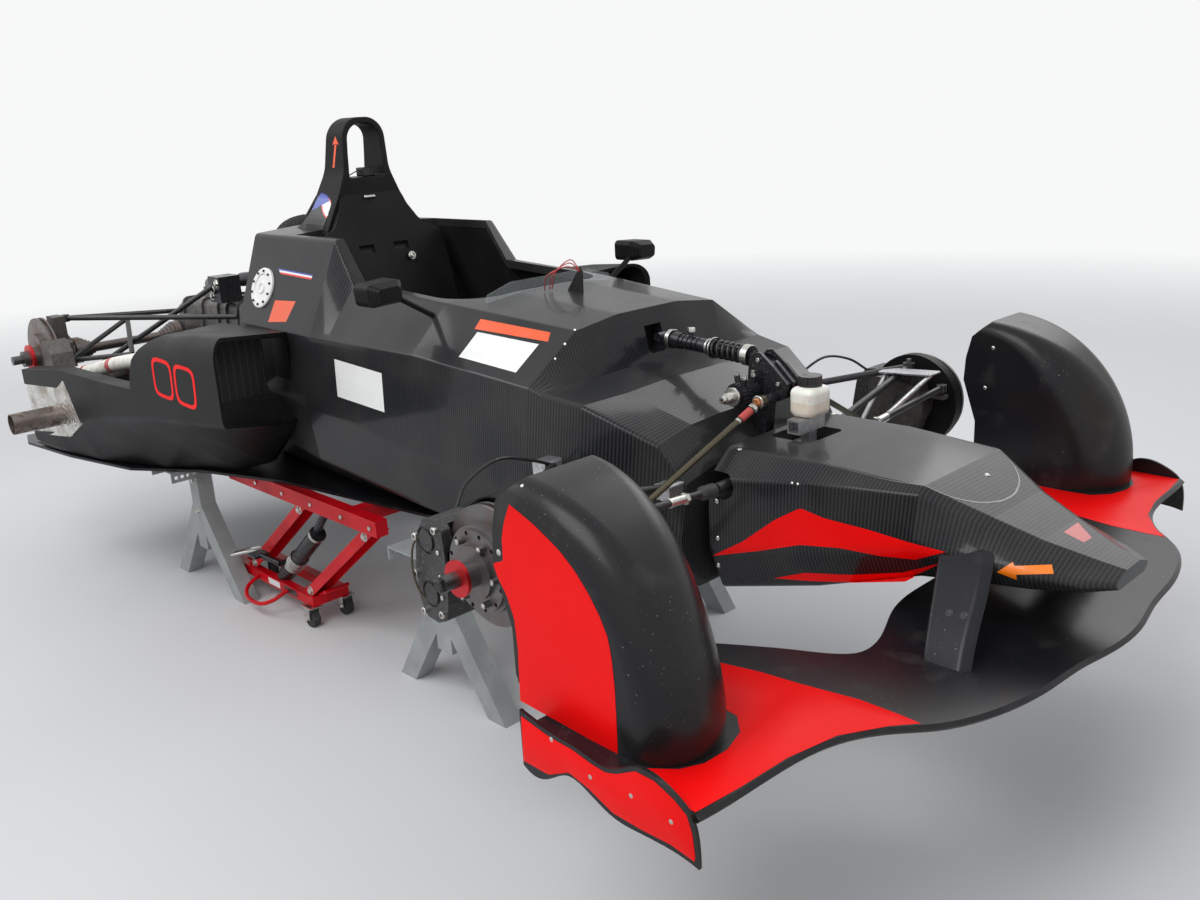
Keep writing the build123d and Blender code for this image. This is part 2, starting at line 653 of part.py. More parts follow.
ROCKER_HALF = 26.0
ROCKER_PLATE = [(22, 448), (36, 461), (50, 464), (84, 438), (121, 404), (116, 372), (66, 350), (16, 384)]
ROCKER_RECESS = [(24, 446), (36, 456), (48, 458), (80, 433), (117, 401), (111, 376), (66, 356), (22, 386)]
PIN = (34.0, 380.0)
PUSH_TOP = Vector(92.0, 78.0, 374.0)
PUSH_R = 7.0


def pin_disc(y0, y1, radius):
    """A disc on the rocker's pin, which lies across the car."""
    return rod((PIN[0], y0, PIN[1]), (PIN[0], y1, PIN[1]), radius)


def front_rocker():
    body = side_plate(ROCKER_RECESS, -ROCKER_HALF, ROCKER_HALF)
    for y in (-ROCKER_HALF, -4.0, ROCKER_HALF - 8.0):
        body = body + side_plate(ROCKER_PLATE, y, y + 8.0)
    slot = along_damper(220, 300, 14)
    body = body + rod((PUSH_TOP.X, -PUSH_TOP.Y, PUSH_TOP.Z), PUSH_TOP, 11)
    stand = side_plate([(0, 380), (66, 380), (50, 240), (-20, 320)], -14, 14)
    return body - slot + (stand - slot) + pin_disc(-34, 44, 20)


rocker = largest(front_rocker() - tub - nose - damper)
push_rod = rod((2, 582, 119), PUSH_TOP, PUSH_R) + rod(PUSH_TOP - Vector(0, 9, 0), PUSH_TOP + Vector(0, 9, 0), 13)
push_rod = largest(push_rod - rocker - front_arms[1])


def roll_unit():
    """The stack of springs on the right end of the rocker's pin, with its adjusting knobs."""
    body = pin_disc(-88, -34, 27) + pin_disc(-102, -88, 19) + pin_disc(-124, -102, 11) + pin_disc(-134, -124, 7)
    for i in range(20):
        turn = i * pi / 10
        x, z = PIN[0] + 28 * cos(turn), PIN[1] + 28 * sin(turn)
        body = body - rod((x, -92, z), (x, -70, z), 2.6)
    for y, lean in ((-78, 12), (-60, -14), (-44, 10)):
        foot = Vector(PIN[0] + lean, y, PIN[1] + 16)
        body = body + rod(foot, foot + Vector(lean * 0.3, 0, 20), 6.5)
    return body


cross_unit = largest(roll_unit() - rocker - tub)

# The brake fluid pot on its alloy bracket, a square tube on a post in the well of the nose.
pot_bracket = block(106, 198, -44, 44, 264, 270) + block(148, 168, -14, 14, 270, 308)
pot_bracket = pot_bracket + block(142, 174, -54, 34, 308, 338) - block(146, 170, -60, 40, 312, 334)


def fluid_pot():
    bottle = block(130, 192, -36, 36, 338, 402)
    cap = rod((161, 0, 390), (161, 0, 424), 25)
    for i in range(24):
        turn = i * pi / 12
        x, y = 161 + 26 * cos(turn), 26 * sin(turn)
        cap = cap - rod((x, y, 408), (x, y, 430), 2.4)
    return bottle.fillet(15, bottle.edges()) + cap


pot = fluid_pot() - pot_bracket

# Front uprights: a bearing block on a vertical kingpin, with the caliper behind the disc.
HOUSING_R = 60.0
SHAFT_R = 25.0
STEER_ARM = 100.0
DISC_R = 114.0
DISC_Y = (722.0, 746.0)


def front_upright():
    housing = turned_y(0, FRONT_HUB_Z, [(632, 684, HOUSING_R)])
    post = side_plate([(-30, 118), (30, 118), (50, 170), (50, 232), (34, 280), (-34, 280), (-50, 232),
                       (-50, 170)], 640, 682)
    studs = rod((0, KINGPIN_Y, 280), (0, KINGPIN_Y, 316), STUD_R)
    studs = studs + rod((0, KINGPIN_Y, 118), (0, KINGPIN_Y, 84), STUD_R)
    arm = plan_plate([(20, 640), (20, 672), (STEER_ARM + 14, 664), (STEER_ARM + 14, 640)], 226, 236)
    lug = side_plate([(-30, 130), (-112, 112), (-124, 132), (-124, 236), (-104, 256), (-30, 250)], 668, 694)
    bore = turned_y(0, FRONT_HUB_Z, [(600, 700, SHAFT_R + FIT)])
    return housing + post + studs + arm + lug - bore


# The caliper is a block over the back of the disc, rounded behind and open towards the hub.
CALIPER = [(-96, 52), (-118, 70), (-150, 66), (-178, 30), (-190, -40), (-184, -110), (-166, -136),
           (-132, -140), (-104, -128), (-96, -96), (-90, -20)]


PISTONS = [(-146, 24), (-146, -84)]


def caliper_body(x, z, y_near, y_far):
    """A caliper outline set at one hub, across the disc."""
    return side_plate([(x + a, z + b) for a, b in CALIPER], y_near, y_far)


def front_caliper():
    body = caliper_body(0, FRONT_HUB_Z, 694, 776)
    body = body.fillet(8, body.edges().filter_by(Axis.Y))
    slot = turned_y(0, FRONT_HUB_Z, [(714, 754, DISC_R + 8)])
    window = block(-150, -80, 700, 770, FRONT_HUB_Z - 70, FRONT_HUB_Z + 10)
    body = body - slot - window
    for x, z in PISTONS:
        at = (x, FRONT_HUB_Z + z)
        body = body - turned_y(*at, [(773, 780, 27)]) + turned_y(*at, [(766, 778, 21)])
    return body


# A drum behind the disc leads the air to it, open where the caliper stands.
DUCT_R = 122.0
DUCT_Y = (688.0, 716.0)
DUCT_WALL = 3.0


def brake_duct():
    rim = turned_y(0, FRONT_HUB_Z, [(DUCT_Y[0], DUCT_Y[1], DUCT_R)])
    dish = turned_y(0, FRONT_HUB_Z, [(DUCT_Y[0] + DUCT_WALL, DUCT_Y[1] + 5, DUCT_R - DUCT_WALL)])
    middle = turned_y(0, FRONT_HUB_Z, [(DUCT_Y[0] - 5, DUCT_Y[1] + 5, HOUSING_R)])
    for_caliper = block(-220, -76, 600, 800, FRONT_HUB_Z - 150, FRONT_HUB_Z + 78)
    return largest(rim - dish - middle - for_caliper)


upright = front_upright()
caliper = front_caliper() - upright
duct = brake_duct() - upright

# Front hubs: shaft, disc, bell and a single wheel nut on a spindle.
# Columns: y start, y end, radius.
FRONT_HUB = [
    (634, 700, SHAFT_R), (696, 722, 42), (DISC_Y[0], DISC_Y[0] + 7, DISC_R),
    (DISC_Y[0] + 7, DISC_Y[1] - 7, DISC_R - 12), (DISC_Y[1] - 7, DISC_Y[1], DISC_R),
    (746, 768, 83), (768, 776, 76), (776, 784, 50), (784, 812, 25), (812, 819, 34), (819, 850, 15),
]
PEG_RING = 61.0
PEGS = 6
VENTS = 12


def bell_hub():
    """The turned hub with its drive pegs and the row of holes through the bell's rim."""
    hub = turned_y(0, FRONT_HUB_Z, FRONT_HUB)
    for i in range(PEGS):
        turn = 2 * pi * i / PEGS
        x, z = PEG_RING * cos(turn), FRONT_HUB_Z + PEG_RING * sin(turn)
        hub = hub + turned_y(x, z, [(770, 790, 6.5)])
    for i in range(VENTS):
        turn = 2 * pi * (i + 0.5) / VENTS
        hub = hub - turned_y(71 * cos(turn), FRONT_HUB_Z + 71 * sin(turn), [(762, 780, 4.5)])
    return hub


front_hub = bell_hub()

# The steering rack crosses the nose; its rods end above the steering arms.
ROD_R = 8.0


def rack_and_rods():
    bar = rod((RACK_X, -250, RACK_Z), (RACK_X, 250, RACK_Z), 13)
    for side in (-1, 1):
        eye = (STEER_ARM, side * 652, 254)
        bar = bar + rod((RACK_X, side * 245, RACK_Z), eye, ROD_R)
        bar = bar + rod((STEER_ARM, side * 652, 244), (STEER_ARM, side * 652, 262), 13)
    return bar


rack = rack_and_rods()

# Rear uprights with calipers, carried by two wishbones a side.
REAR_HOUSING_R = 62.0
REAR_DISC_R = 132.0


def rear_upright():
    housing = turned_y(REAR_AXLE_X, REAR_HUB_Z, [(552, 600, REAR_HOUSING_R)])
    post = block(REAR_AXLE_X - 36, REAR_AXLE_X + 36, 560, 598, 150, 400)
    lug = block(REAR_AXLE_X + 30, REAR_AXLE_X + 120, 574, 600, 230, 320)
    bore = turned_y(REAR_AXLE_X, REAR_HUB_Z, [(500, 700, SHAFT_R + FIT)])
    grip = side_plate([(REAR_AXLE_X - x, z + REAR_HUB_Z) for x, z in CALIPER], 600, 672)
    slot = turned_y(REAR_AXLE_X, REAR_HUB_Z, [(616, 652, REAR_DISC_R + 8)])
    return housing + post + lug + (grip - slot) - bore


rear_knuckle = rear_upright()

# Columns: y start, y end, radius; the half shaft with two boots runs in to the gearbox.
REAR_HUB = [
    (150, 612, 16), (156, 180, 46), (180, 192, 40), (192, 204, 33), (204, 216, 27), (216, 226, 21),
    (470, 482, 21), (482, 494, 27), (494, 506, 33), (506, 518, 40), (518, 540, 46), (548, 612, SHAFT_R),
    (606, 622, 40), (622, 629, REAR_DISC_R), (629, 639, REAR_DISC_R - 12), (639, 646, REAR_DISC_R),
    (646, 662, 80), (662, 680, 36), (680, 689, 46), (689, 710, 27), (710, 743, 15),
]
rear_hub = turned_y(REAR_AXLE_X, REAR_HUB_Z, REAR_HUB)

# Columns: upright point, front pick-up, rear pick-up.
REAR_ARMS = [
    ((REAR_AXLE_X, 548, 388), (-2060, 170, 380), (-2740, 70, 330)),
    ((REAR_AXLE_X, 548, 162), (-2130, 120, 110), (-2740, 70, 205)),
]


def rear_wishbone(tip, front, rear):
    x, y, z = tip
    arm = rod(front, tip, ARM_R) + rod(rear, tip, ARM_R) + rod((x, y, z - 12), (x, y, z + 12), EYE_R)
    return largest(arm - rear_knuckle - gearbox - engine)


left_rear_arms = [rear_wishbone(*row) for row in REAR_ARMS]
rear_push = rod((-2540, 520, 196), (-2250, 150, 470), ARM_R)
for arm in left_rear_arms:
    rear_push = rear_push - arm
rear_push = largest(rear_push - rear_knuckle - rear_hub)
rear_damper = rod((-2250, 90, 474), (-2460, 60, 450), 26) + block(-2290, -2210, 70, 150, 410, 500)
rear_damper = largest(rear_damper - gearbox)
rear_push = largest(rear_push - rear_damper)

# Radiators stand across the pod ducts.
radiator = largest(block(-1434, -1392, 428, 740, 262, 426) - left_pod - tub)

# Two trestles: a pierced beam across the car on an A frame at each end.
# Columns: post x, beam half width, post y, front foot x, back foot x.
TRESTLES = [
    (-630, 520, 410, -408, -846),
    (-1837, 600, 480, -1598, -2068),
]
BEAM_HIGH = -FLOOR_THICK
BEAM_DEEP = 34.0
BEAM_WIDE = 150.0
TUBE_X = 60.0
TUBE_Y = 50.0


HOLE_R = 6.0
HOLE_PITCH = 19.0
HOLES = 6


def trestle_beam(x, half):
    """A channel with its flanges down, pierced by a row of holes near each end."""
    top = BEAM_HIGH
    channel = block(x - BEAM_WIDE / 2, x + BEAM_WIDE / 2, -half, half, top - BEAM_DEEP, top)
    trough = block(x - BEAM_WIDE / 2 + 4, x + BEAM_WIDE / 2 - 4, -half - 5, half + 5,
                   top - BEAM_DEEP - 5, top - 4)
    beam = channel - trough
    for i in range(HOLES):
        for side in (-1, 1):
            y = side * (half - HOLE_PITCH * (i + 0.8))
            z = top - BEAM_DEEP / 2 - 2
            beam = beam - rod((x - BEAM_WIDE, y, z), (x + BEAM_WIDE, y, z), HOLE_R)
    return beam


def trestle_frame(x, y, front_foot, back_foot):
    top = BEAM_HIGH - 4
    post = block(x - TUBE_X / 2, x + TUBE_X / 2, y - TUBE_Y / 2, y + TUBE_Y / 2, -300, top)
    frame = post
    for foot in (front_foot, back_foot):
        sign = 1 if foot > x else -1
        leg = side_plate([(foot - sign * 66, GROUND), (foot, GROUND), (x + sign * 30, -150),
                          (x, -150), (x, -215)], y - TUBE_Y / 2, y + TUBE_Y / 2)
        frame = frame + leg
    return frame


beams = []
frames = []
for post_x, half, post_y, front_foot, back_foot in TRESTLES:
    beams.append(trestle_beam(post_x, half))
    frames.append(trestle_frame(post_x, post_y, front_foot, back_foot))
    frames.append(trestle_frame(post_x, -post_y, front_foot, back_foot))

# The low lift under the right edge of the tub: a narrow base on castors, two parallel arms,
# a ram and a saddle of two rails.
LIFT_Y = -385.0
LIFT_HALF = 60.0
LIFT_TOP = -FLOOR_THICK
RAIL_DEEP = 44.0
RAIL_Y = (-446.0, -410.0)
FAR_RAIL_Y = (-290.0, -262.0)
RAIL_X = (-1700.0, -872.0)
BASE_X = (-1770.0, -1270.0)
BASE_Z = (GROUND + 66.0, GROUND + 96.0)
CASTOR_R = 28.0
ARM_FEET = (-1650.0, -1308.0)
ARM_LEAN = 375.0


def lift_saddle():
    low = LIFT_TOP - RAIL_DEEP
    frame = block(*RAIL_X, *RAIL_Y, low, LIFT_TOP)
    frame = frame + block(RAIL_X[0], RAIL_X[0] + 700, *FAR_RAIL_Y, low, LIFT_TOP)
    for x in (RAIL_X[0], RAIL_X[0] + 664):
        frame = frame + block(x, x + 36, RAIL_Y[0], FAR_RAIL_Y[1], low, LIFT_TOP)
    return frame


def lift_frame():
    outer = block(*BASE_X, LIFT_Y - LIFT_HALF, LIFT_Y + LIFT_HALF, *BASE_Z)
    inner = block(BASE_X[0] + 40, BASE_X[1] - 90, LIFT_Y - LIFT_HALF + 26, LIFT_Y + LIFT_HALF - 26,
                  BASE_Z[0] - 5, BASE_Z[1] + 5)
    return outer - inner


def lift_arm(foot):
    low = BASE_Z[1]
    high = LIFT_TOP - RAIL_DEEP
    outline = [(foot - 26, low), (foot + 26, low), (foot + ARM_LEAN + 26, high),
               (foot + ARM_LEAN - 26, high)]
    trough = [(x + 10, z) for x, z in outline]
    return side_plate(outline, LIFT_Y - 52, LIFT_Y + 2) - side_plate(trough, LIFT_Y - 48, LIFT_Y - 2)


saddle = lift_saddle()
RAM_Y = LIFT_Y - 30.0
ram = rod((-1340, RAM_Y, -236), (-1165, RAM_Y, LIFT_TOP - RAIL_DEEP + 10), 12)
ram = ram + rod((-1480, RAM_Y, BASE_Z[1] + 4), (-1240, RAM_Y, -136), 24)
lift_base = lift_frame()
# A pedal works the ram's pump, and a bent bar at the front end of the base pulls the lift along.
PEDAL = [(-1420, RAM_Y - 40, -262), (-1500, RAM_Y - 60, -250)]
ram = ram + rod((-1420, RAM_Y, -262), PEDAL[0], 8) + rod(*PEDAL, 9)
ram = ram + block(-1540, -1490, RAM_Y - 84, RAM_Y - 36, -254, -246)
ram = largest(ram - saddle - lift_base)
for y in (LIFT_Y - 34, LIFT_Y + 34):
    lift_base = lift_base + rod((BASE_X[1] - 20, y, BASE_Z[1] - 6), (BASE_X[1] + 40, y, BASE_Z[1] + 22), 6)
lift_base = lift_base + rod((BASE_X[1] + 40, LIFT_Y - 40, BASE_Z[1] + 22), (BASE_X[1] + 40, LIFT_Y + 40, BASE_Z[1] + 22), 6)
castors = []
for x in (BASE_X[0] + 20, BASE_X[1] - 20):
    for y in (LIFT_Y - LIFT_HALF + 4, LIFT_Y + LIFT_HALF - 4):
        wheel = rod((x, y - 11, GROUND + CASTOR_R), (x, y + 11, GROUND + CASTOR_R), CASTOR_R)
        castors.append(wheel + block(x - 16, x + 16, y - 15, y + 15, GROUND + 50, BASE_Z[0]))

# The named pieces of the car, each written to its own file.
export("tub", tub)
export("seat_bulkhead", seat)
export("hoop_fairing", fairing)
export("roll_hoop", hoop)
export("nose_box", nose)
export("front_wing", wing)
export("end_plates", end_plate, mirrored(end_plate))
export("wing_pylons", left_pylon, mirrored(left_pylon))
export("fender_left", left_fender)
export("fender_right", mirrored(left_fender))
export("side_pod_left", left_pod)
export("side_pod_right", right_pod)
export("floor_pan", floor_pan)
export("engine_block", engine)
export("intake_plenum", intake)
export("gearbox", gearbox)
export("exhaust_pipe", exhaust)
export("heat_shield", heat_shield)
export("mirrors", left_mirror, mirrored(left_mirror))
export("wind_screen", screen)
export("front_wishbones", *front_arms, *[mirrored(arm) for arm in front_arms])
export("pickup_brackets", *brackets, *[mirrored(bracket) for bracket in brackets])
export("front_push_rods", push_rod, mirrored(push_rod))
export("front_damper", damper)
export("front_spring", spring)
export("front_rocker", rocker)
export("cross_unit", cross_unit)
export("fluid_pot", pot)
export("pot_bracket", pot_bracket)
export("upright_left", upright)
export("upright_right", mirrored(upright))
export("caliper_left", caliper)
export("caliper_right", mirrored(caliper))
export("brake_duct_left", duct)
export("brake_duct_right", mirrored(duct))
export("front_hub_left", front_hub)
export("front_hub_right", mirrored(front_hub))
export("steering_rack", rack)
export("rear_uprights", rear_knuckle, mirrored(rear_knuckle))
export("rear_hub_left", rear_hub)
export("rear_hub_right", mirrored(rear_hub))
export("rear_wishbones", *left_rear_arms, *[mirrored(arm) for arm in left_rear_arms])
export("rear_push_rods", rear_push, mirrored(rear_push))
export("rear_dampers", rear_damper, mirrored(rear_damper))
export("radiators", radiator, mirrored(radiator))
export("trestle_beams", *beams)
export("trestle_frames", *frames)
export("lift_saddle", saddle)
export("lift_base", lift_base)
export("lift_arms", *[lift_arm(foot) for foot in ARM_FEET])
export("lift_ram", ram)
export("lift_castors", *castors)

os.makedirs("parts", exist_ok=True)
for name, solids in nodes.items():
    export_step(Compound(children=solids), f"parts/{name}.step")
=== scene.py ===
"""A carbon single seat racing car on paddock stands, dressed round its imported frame.

Metres, +X to the nose, +Y to the driver's left, +Z up, with the floor under the stands at zero.
"""

import bmesh
import bpy
import numpy as np
from mathutils import Matrix, Vector


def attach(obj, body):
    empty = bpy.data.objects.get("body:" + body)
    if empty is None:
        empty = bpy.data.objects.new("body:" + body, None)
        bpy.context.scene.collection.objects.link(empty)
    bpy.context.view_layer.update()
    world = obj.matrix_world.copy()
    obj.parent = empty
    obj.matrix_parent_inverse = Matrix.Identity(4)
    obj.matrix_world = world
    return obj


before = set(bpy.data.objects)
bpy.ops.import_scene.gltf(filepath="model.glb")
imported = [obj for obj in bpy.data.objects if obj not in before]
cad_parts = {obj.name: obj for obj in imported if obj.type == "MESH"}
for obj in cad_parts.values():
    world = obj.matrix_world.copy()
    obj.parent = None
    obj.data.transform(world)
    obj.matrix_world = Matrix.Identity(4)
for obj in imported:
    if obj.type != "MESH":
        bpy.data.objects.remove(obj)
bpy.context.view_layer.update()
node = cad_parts

# The camera stands at head height off the right front corner, as the photographer did.
# Its place and turn were solved from points that the car has on both of its sides.
CAMERA_PLACE = Vector((2.4489, -1.8454, 1.3857))
CAMERA_TURN = np.radians((136.727, 16.723, -3.206))
FRAME_WIDTH = 1200
FOCAL_PIXELS = 1099.19
SENSOR = 36.0


def camera_axes(turn):
    """Right, up and back of a camera that looks along a yaw about Z, then down, then rolls."""
    yaw, down, roll = turn
    ahead = np.array((np.cos(yaw) * np.cos(down), np.sin(yaw) * np.cos(down), -np.sin(down)))
    right = np.array((np.sin(yaw), -np.cos(yaw), 0.0))
    up = np.cross(right, ahead)
    tilted_right = np.cos(roll) * right + np.sin(roll) * up
    tilted_up = np.cos(roll) * up - np.sin(roll) * right
    return np.stack((tilted_right, tilted_up, -ahead), axis=1)


camera = bpy.data.objects.new("camera", bpy.data.cameras.new("camera"))
camera.data.sensor_width = SENSOR
camera.data.lens = SENSOR * FOCAL_PIXELS / FRAME_WIDTH
camera.matrix_world = Matrix.Translation(CAMERA_PLACE) @ Matrix(camera_axes(CAMERA_TURN)).to_4x4()
bpy.context.scene.collection.objects.link(camera)
bpy.context.scene.camera = camera


# The workshop floor: a plain pale slab, wide enough that its far edge never shows.
# The surround is white to the camera and in reflections, and a softer grey as a lamp, and the
# slab fades into that white between GLOW_START and GLOW_FULL metres from the middle.
FLOOR_REACH = 24.0
SURROUND = (0.93, 0.935, 0.94, 1.0)
SURROUND_GREY = (0.62, 0.64, 0.67, 1.0)
GLOW_START, GLOW_FULL = 3.2, 8.5


class Strand:
    """One socket of a material. Arithmetic on it adds the Math nodes that work it out."""

    def __init__(self, tree, socket=None):
        self.tree = tree
        self.socket = socket

    def node(self, kind, settings, values, output=0):
        """A node of any kind: its settings go in first, then the values or links of its sockets."""
        made = self.tree.nodes.new(kind)
        for name, value in settings.items():
            if name == "stops":
                elements = made.color_ramp.elements
                while len(elements) < len(value):
                    elements.new(1.0)
                for element, (place, colour) in zip(elements, value):
                    element.position = place
                    element.color = (*colour, 1.0)
            else:
                setattr(made, name, value)
        for key, value in values.items():
            if isinstance(value, Strand):
                self.tree.links.new(value.socket, made.inputs[key])
            else:
                made.inputs[key].default_value = value
        return Strand(self.tree, made.outputs[output])

    def __add__(self, other):
        return maths("ADD", self, other)

    def __radd__(self, other):
        return maths("ADD", other, self)

    def __sub__(self, other):
        return maths("SUBTRACT", self, other)

    def __rsub__(self, other):
        return maths("SUBTRACT", other, self)

    def __mul__(self, other):
        return maths("MULTIPLY", self, other)

    def __rmul__(self, other):
        return maths("MULTIPLY", other, self)

    def __truediv__(self, other):
        return maths("DIVIDE", self, other)

    def __gt__(self, other):
        return maths("GREATER_THAN", self, other)

    def __lt__(self, other):
        return maths("LESS_THAN", self, other)


def maths(operation, *terms):
    """A Math node on strands and numbers, in the tree of the first strand among them."""
    tree = next(term.tree for term in terms if isinstance(term, Strand))
    return Strand(tree).node("ShaderNodeMath", {"operation": operation}, dict(enumerate(terms)))


def colour_mix(mask, first, second):
    """The first colour where the mask is 0, the second where it is 1."""
    return mask.node("ShaderNodeMix", {"data_type": "RGBA"}, {0: mask, 6: first, 7: second}, output=2)


def new_finish(name, **fixed):
    """A material with fixed values on its shader's sockets, and the point being shaded, in metres."""
    material = bpy.data.materials.new(name)
    material.use_nodes = True
    shader = material.node_tree.nodes["Principled BSDF"]
    for key, value in fixed.items():
        shader.inputs[key.replace("_", " ")].default_value = value
    return material, Strand(material.node_tree).node("ShaderNodeTexCoord", {}, {}, output=3)


def feed(material, **strands):
    """Link what changes over the surface to the shader."""
    shader = material.node_tree.nodes["Principled BSDF"]
    for key, strand in strands.items():
        material.node_tree.links.new(strand.socket, shader.inputs[key.replace("_", " ")])


def cloud(place, scale, detail=3.0):
    """Soft noise from 0 to 1 over the surface, with lumps about 1 / scale metres across."""
    return place.node("ShaderNodeTexNoise", {}, {"Vector": place, "Scale": scale, "Detail": detail})


def grade(strand, low, high):
    """0 below the low value, 1 above the high one and a straight rise between them."""
    return strand.node("ShaderNodeMapRange", {}, {0: strand, 1: low, 2: high, 3: 0.0, 4: 1.0})


def seen_by_eye(strand):
    """1 for what the camera sees straight, in a reflection or through glass, and 0 for light on a surface."""
    rays = [strand.node("ShaderNodeLightPath", {}, {}, output=f"Is {kind} Ray")
            for kind in ("Camera", "Glossy", "Transmission")]
    return maths("MAXIMUM", rays[0], maths("MAXIMUM", rays[1], rays[2]))


slab, place = new_finish("pale_floor", Roughness=0.75)
feed(slab, Base_Color=colour_mix(cloud(place, 0.9), (0.60, 0.605, 0.61, 1), (0.66, 0.66, 0.665, 1)))
reach = place.node("ShaderNodeVectorMath", {"operation": "LENGTH"}, {0: place}, output=1)
far = grade(reach, GLOW_START, GLOW_FULL) * seen_by_eye(place)
far_glow = place.node("ShaderNodeEmission", {}, {"Color": SURROUND, "Strength": 1.0})
near_slab = Strand(place.tree, place.tree.nodes["Principled BSDF"].outputs[0])
mixed = place.node("ShaderNodeMixShader", {}, {0: far, 1: near_slab, 2: far_glow})
place.tree.links.new(mixed.socket, place.tree.nodes["Material Output"].inputs[0])
floor_mesh = bpy.data.meshes.new("floor")
corners = [(FLOOR_REACH * a, FLOOR_REACH * b, 0.0) for a, b in ((-1, -1), (1, -1), (1, 1), (-1, 1))]
floor_mesh.from_pydata(corners, [], [(0, 1, 2, 3)])
floor_mesh.materials.append(slab)
floor = bpy.data.objects.new("floor", floor_mesh)
bpy.context.scene.collection.objects.link(floor)

surround = bpy.data.worlds.new("surround")
surround.use_nodes = True
bpy.context.scene.world = surround
seen = seen_by_eye(Strand(surround.node_tree))
backdrop = surround.node_tree.nodes["Background"]
surround.node_tree.links.new(colour_mix(seen, SURROUND_GREY, SURROUND).socket, backdrop.inputs["Color"])
backdrop.inputs["Strength"].default_value = 1.0

# Soft square lamps hang over the car like the workshop's tubes, two on the camera's side and
# one on the far side. Columns: place, point that it faces, size, watts.
LAMPS = [
    ((1.2, -2.6, 3.6), (0.2, 0.0, 0.5), 2.2, 72.0),
    ((-2.6, -2.2, 3.4), (-1.0, 0.0, 0.5), 2.0, 50.0),
    ((0.4, 3.2, 3.2), (0.0, 0.0, 0.6), 2.4, 45.0),
]
for lamp_place, target, lamp_size, watts in LAMPS:
    lamp = bpy.data.objects.new("lamp", bpy.data.lights.new("lamp", "AREA"))
    lamp.data.energy = watts
    lamp.data.size = lamp_size
    lamp.location = lamp_place
    aim = Vector(target) - Vector(lamp_place)
    lamp.rotation_euler = aim.to_track_quat("-Z", "Y").to_euler()
    bpy.context.scene.collection.objects.link(lamp)
bpy.context.scene.view_settings.view_transform = "Standard"

# The tub, nose and pods are laid up in twill carbon. Tows about 2 mm wide pass over two and
# under two, and lie at 45 degrees, so the weave shows as ribs across the car.
TOW = 0.0026
# The lighter rib colour is painted sheen on the tows that lie over; the dark one is the carbon's own black.
RIB_DARK = (0.0045, 0.0045, 0.0055, 1)
RIB_SHEEN = (0.031, 0.032, 0.034, 1)
FACES_FRONT = 0.72


def bumped(height, distance, strength=1.0):
    """The normal of a surface raised by the height, times the distance in metres."""
    return height.node("ShaderNodeBump", {}, {"Strength": strength, "Distance": distance, "Height": height})


def split(vector):
    """The three parts of a vector."""
    return [vector.node("ShaderNodeSeparateXYZ", {}, {0: vector}, output=i) for i in range(3)]


def weave_axes(place):
    """Two coordinates along the skin: X and height on a side, X and Y on top, Y and height in front."""
    x, y, z = split(place)
    facing = place.node("ShaderNodeTexCoord", {}, {}, output=1)
    along, across, upward = [maths("ABSOLUTE", part) for part in split(facing)]
    is_front = along > FACES_FRONT
    is_top = (upward > across) * (1 - is_front)
    first = x + is_front * (y - x)
    second = z + is_top * (y - z)
    return first, second


def twill(first, second):
    """1 on the tows that lie over, 0 on those under, for a two by two twill at 45 degrees."""
    slope = (first + second) / (TOW * 2 ** 0.5)
    rise = (first - second) / (TOW * 2 ** 0.5)
    steps = maths("FLOOR", slope) + maths("FLOOR", rise)
    return maths("FLOORED_MODULO", steps, 4.0) < 1.5, slope, rise


def carbon_finish(name, dark, light, roughness, coat, coat_rough, dust):
    """Woven carbon under a coat: the tows that lie over, and each tow's crown, get a painted sheen lighter
    than the rest and stand up a little, with dust and scuffs.
    """
    material, place = new_finish(name, Specular_IOR_Level=0.08, Coat_Weight=coat, Coat_Roughness=coat_rough)
    over, slope, rise = twill(*weave_axes(place))
    # The lighter tone of the over tows and of each tow's crown is painted sheen; the same pattern also raises
    # the bump.
    tow_round_and_sheen = maths("PINGPONG", slope, 1.0) * over + maths("PINGPONG", rise, 1.0) * (1 - over)
    weave_and_sheen = over * 0.75 + tow_round_and_sheen * 0.25
    smear = grade(cloud(place, 5.0, 6.0), 0.42, 0.68)
    colour = colour_mix(weave_and_sheen, dark, light)
    colour = colour_mix(smear * dust, colour, (0.20, 0.19, 0.17, 1))
    scuff = cloud(place, 60.0, 4.0)
    feed(material, Base_Color=colour, Roughness=roughness + smear * 0.12 + scuff * 0.08,
         Normal=bumped(weave_and_sheen * 0.7 + scuff * 0.3, 0.00012, 0.5))
    return material


def dress(material, *names):
    """Give CAD nodes a finish."""
    for name in names:
        for place_for in node[name].material_slots:
            place_for.material = material


gloss_carbon = carbon_finish("gloss_carbon", RIB_DARK, RIB_SHEEN, 0.28, 0.30, 0.10, 0.08)
dress(gloss_carbon, "tub", "nose_box", "hoop_fairing")
# Its second colour, too, is painted sheen on the tows that lie over.
dull_carbon = carbon_finish("dull_carbon", (0.0035, 0.0035, 0.004, 1), (0.013, 0.0132, 0.0138, 1), 0.40, 0.07,
                            0.25, 0.03)
dress(dull_carbon, "seat_bulkhead", "roll_hoop", "side_pod_left", "side_pod_right", "mirrors",
      "brake_duct_left", "brake_duct_right")

# The open parts are black moulded skins, steel tubes, machined blocks and castings, and the
# stands under them are enamelled. Each finish has its own grain, with a season's dust and oil.


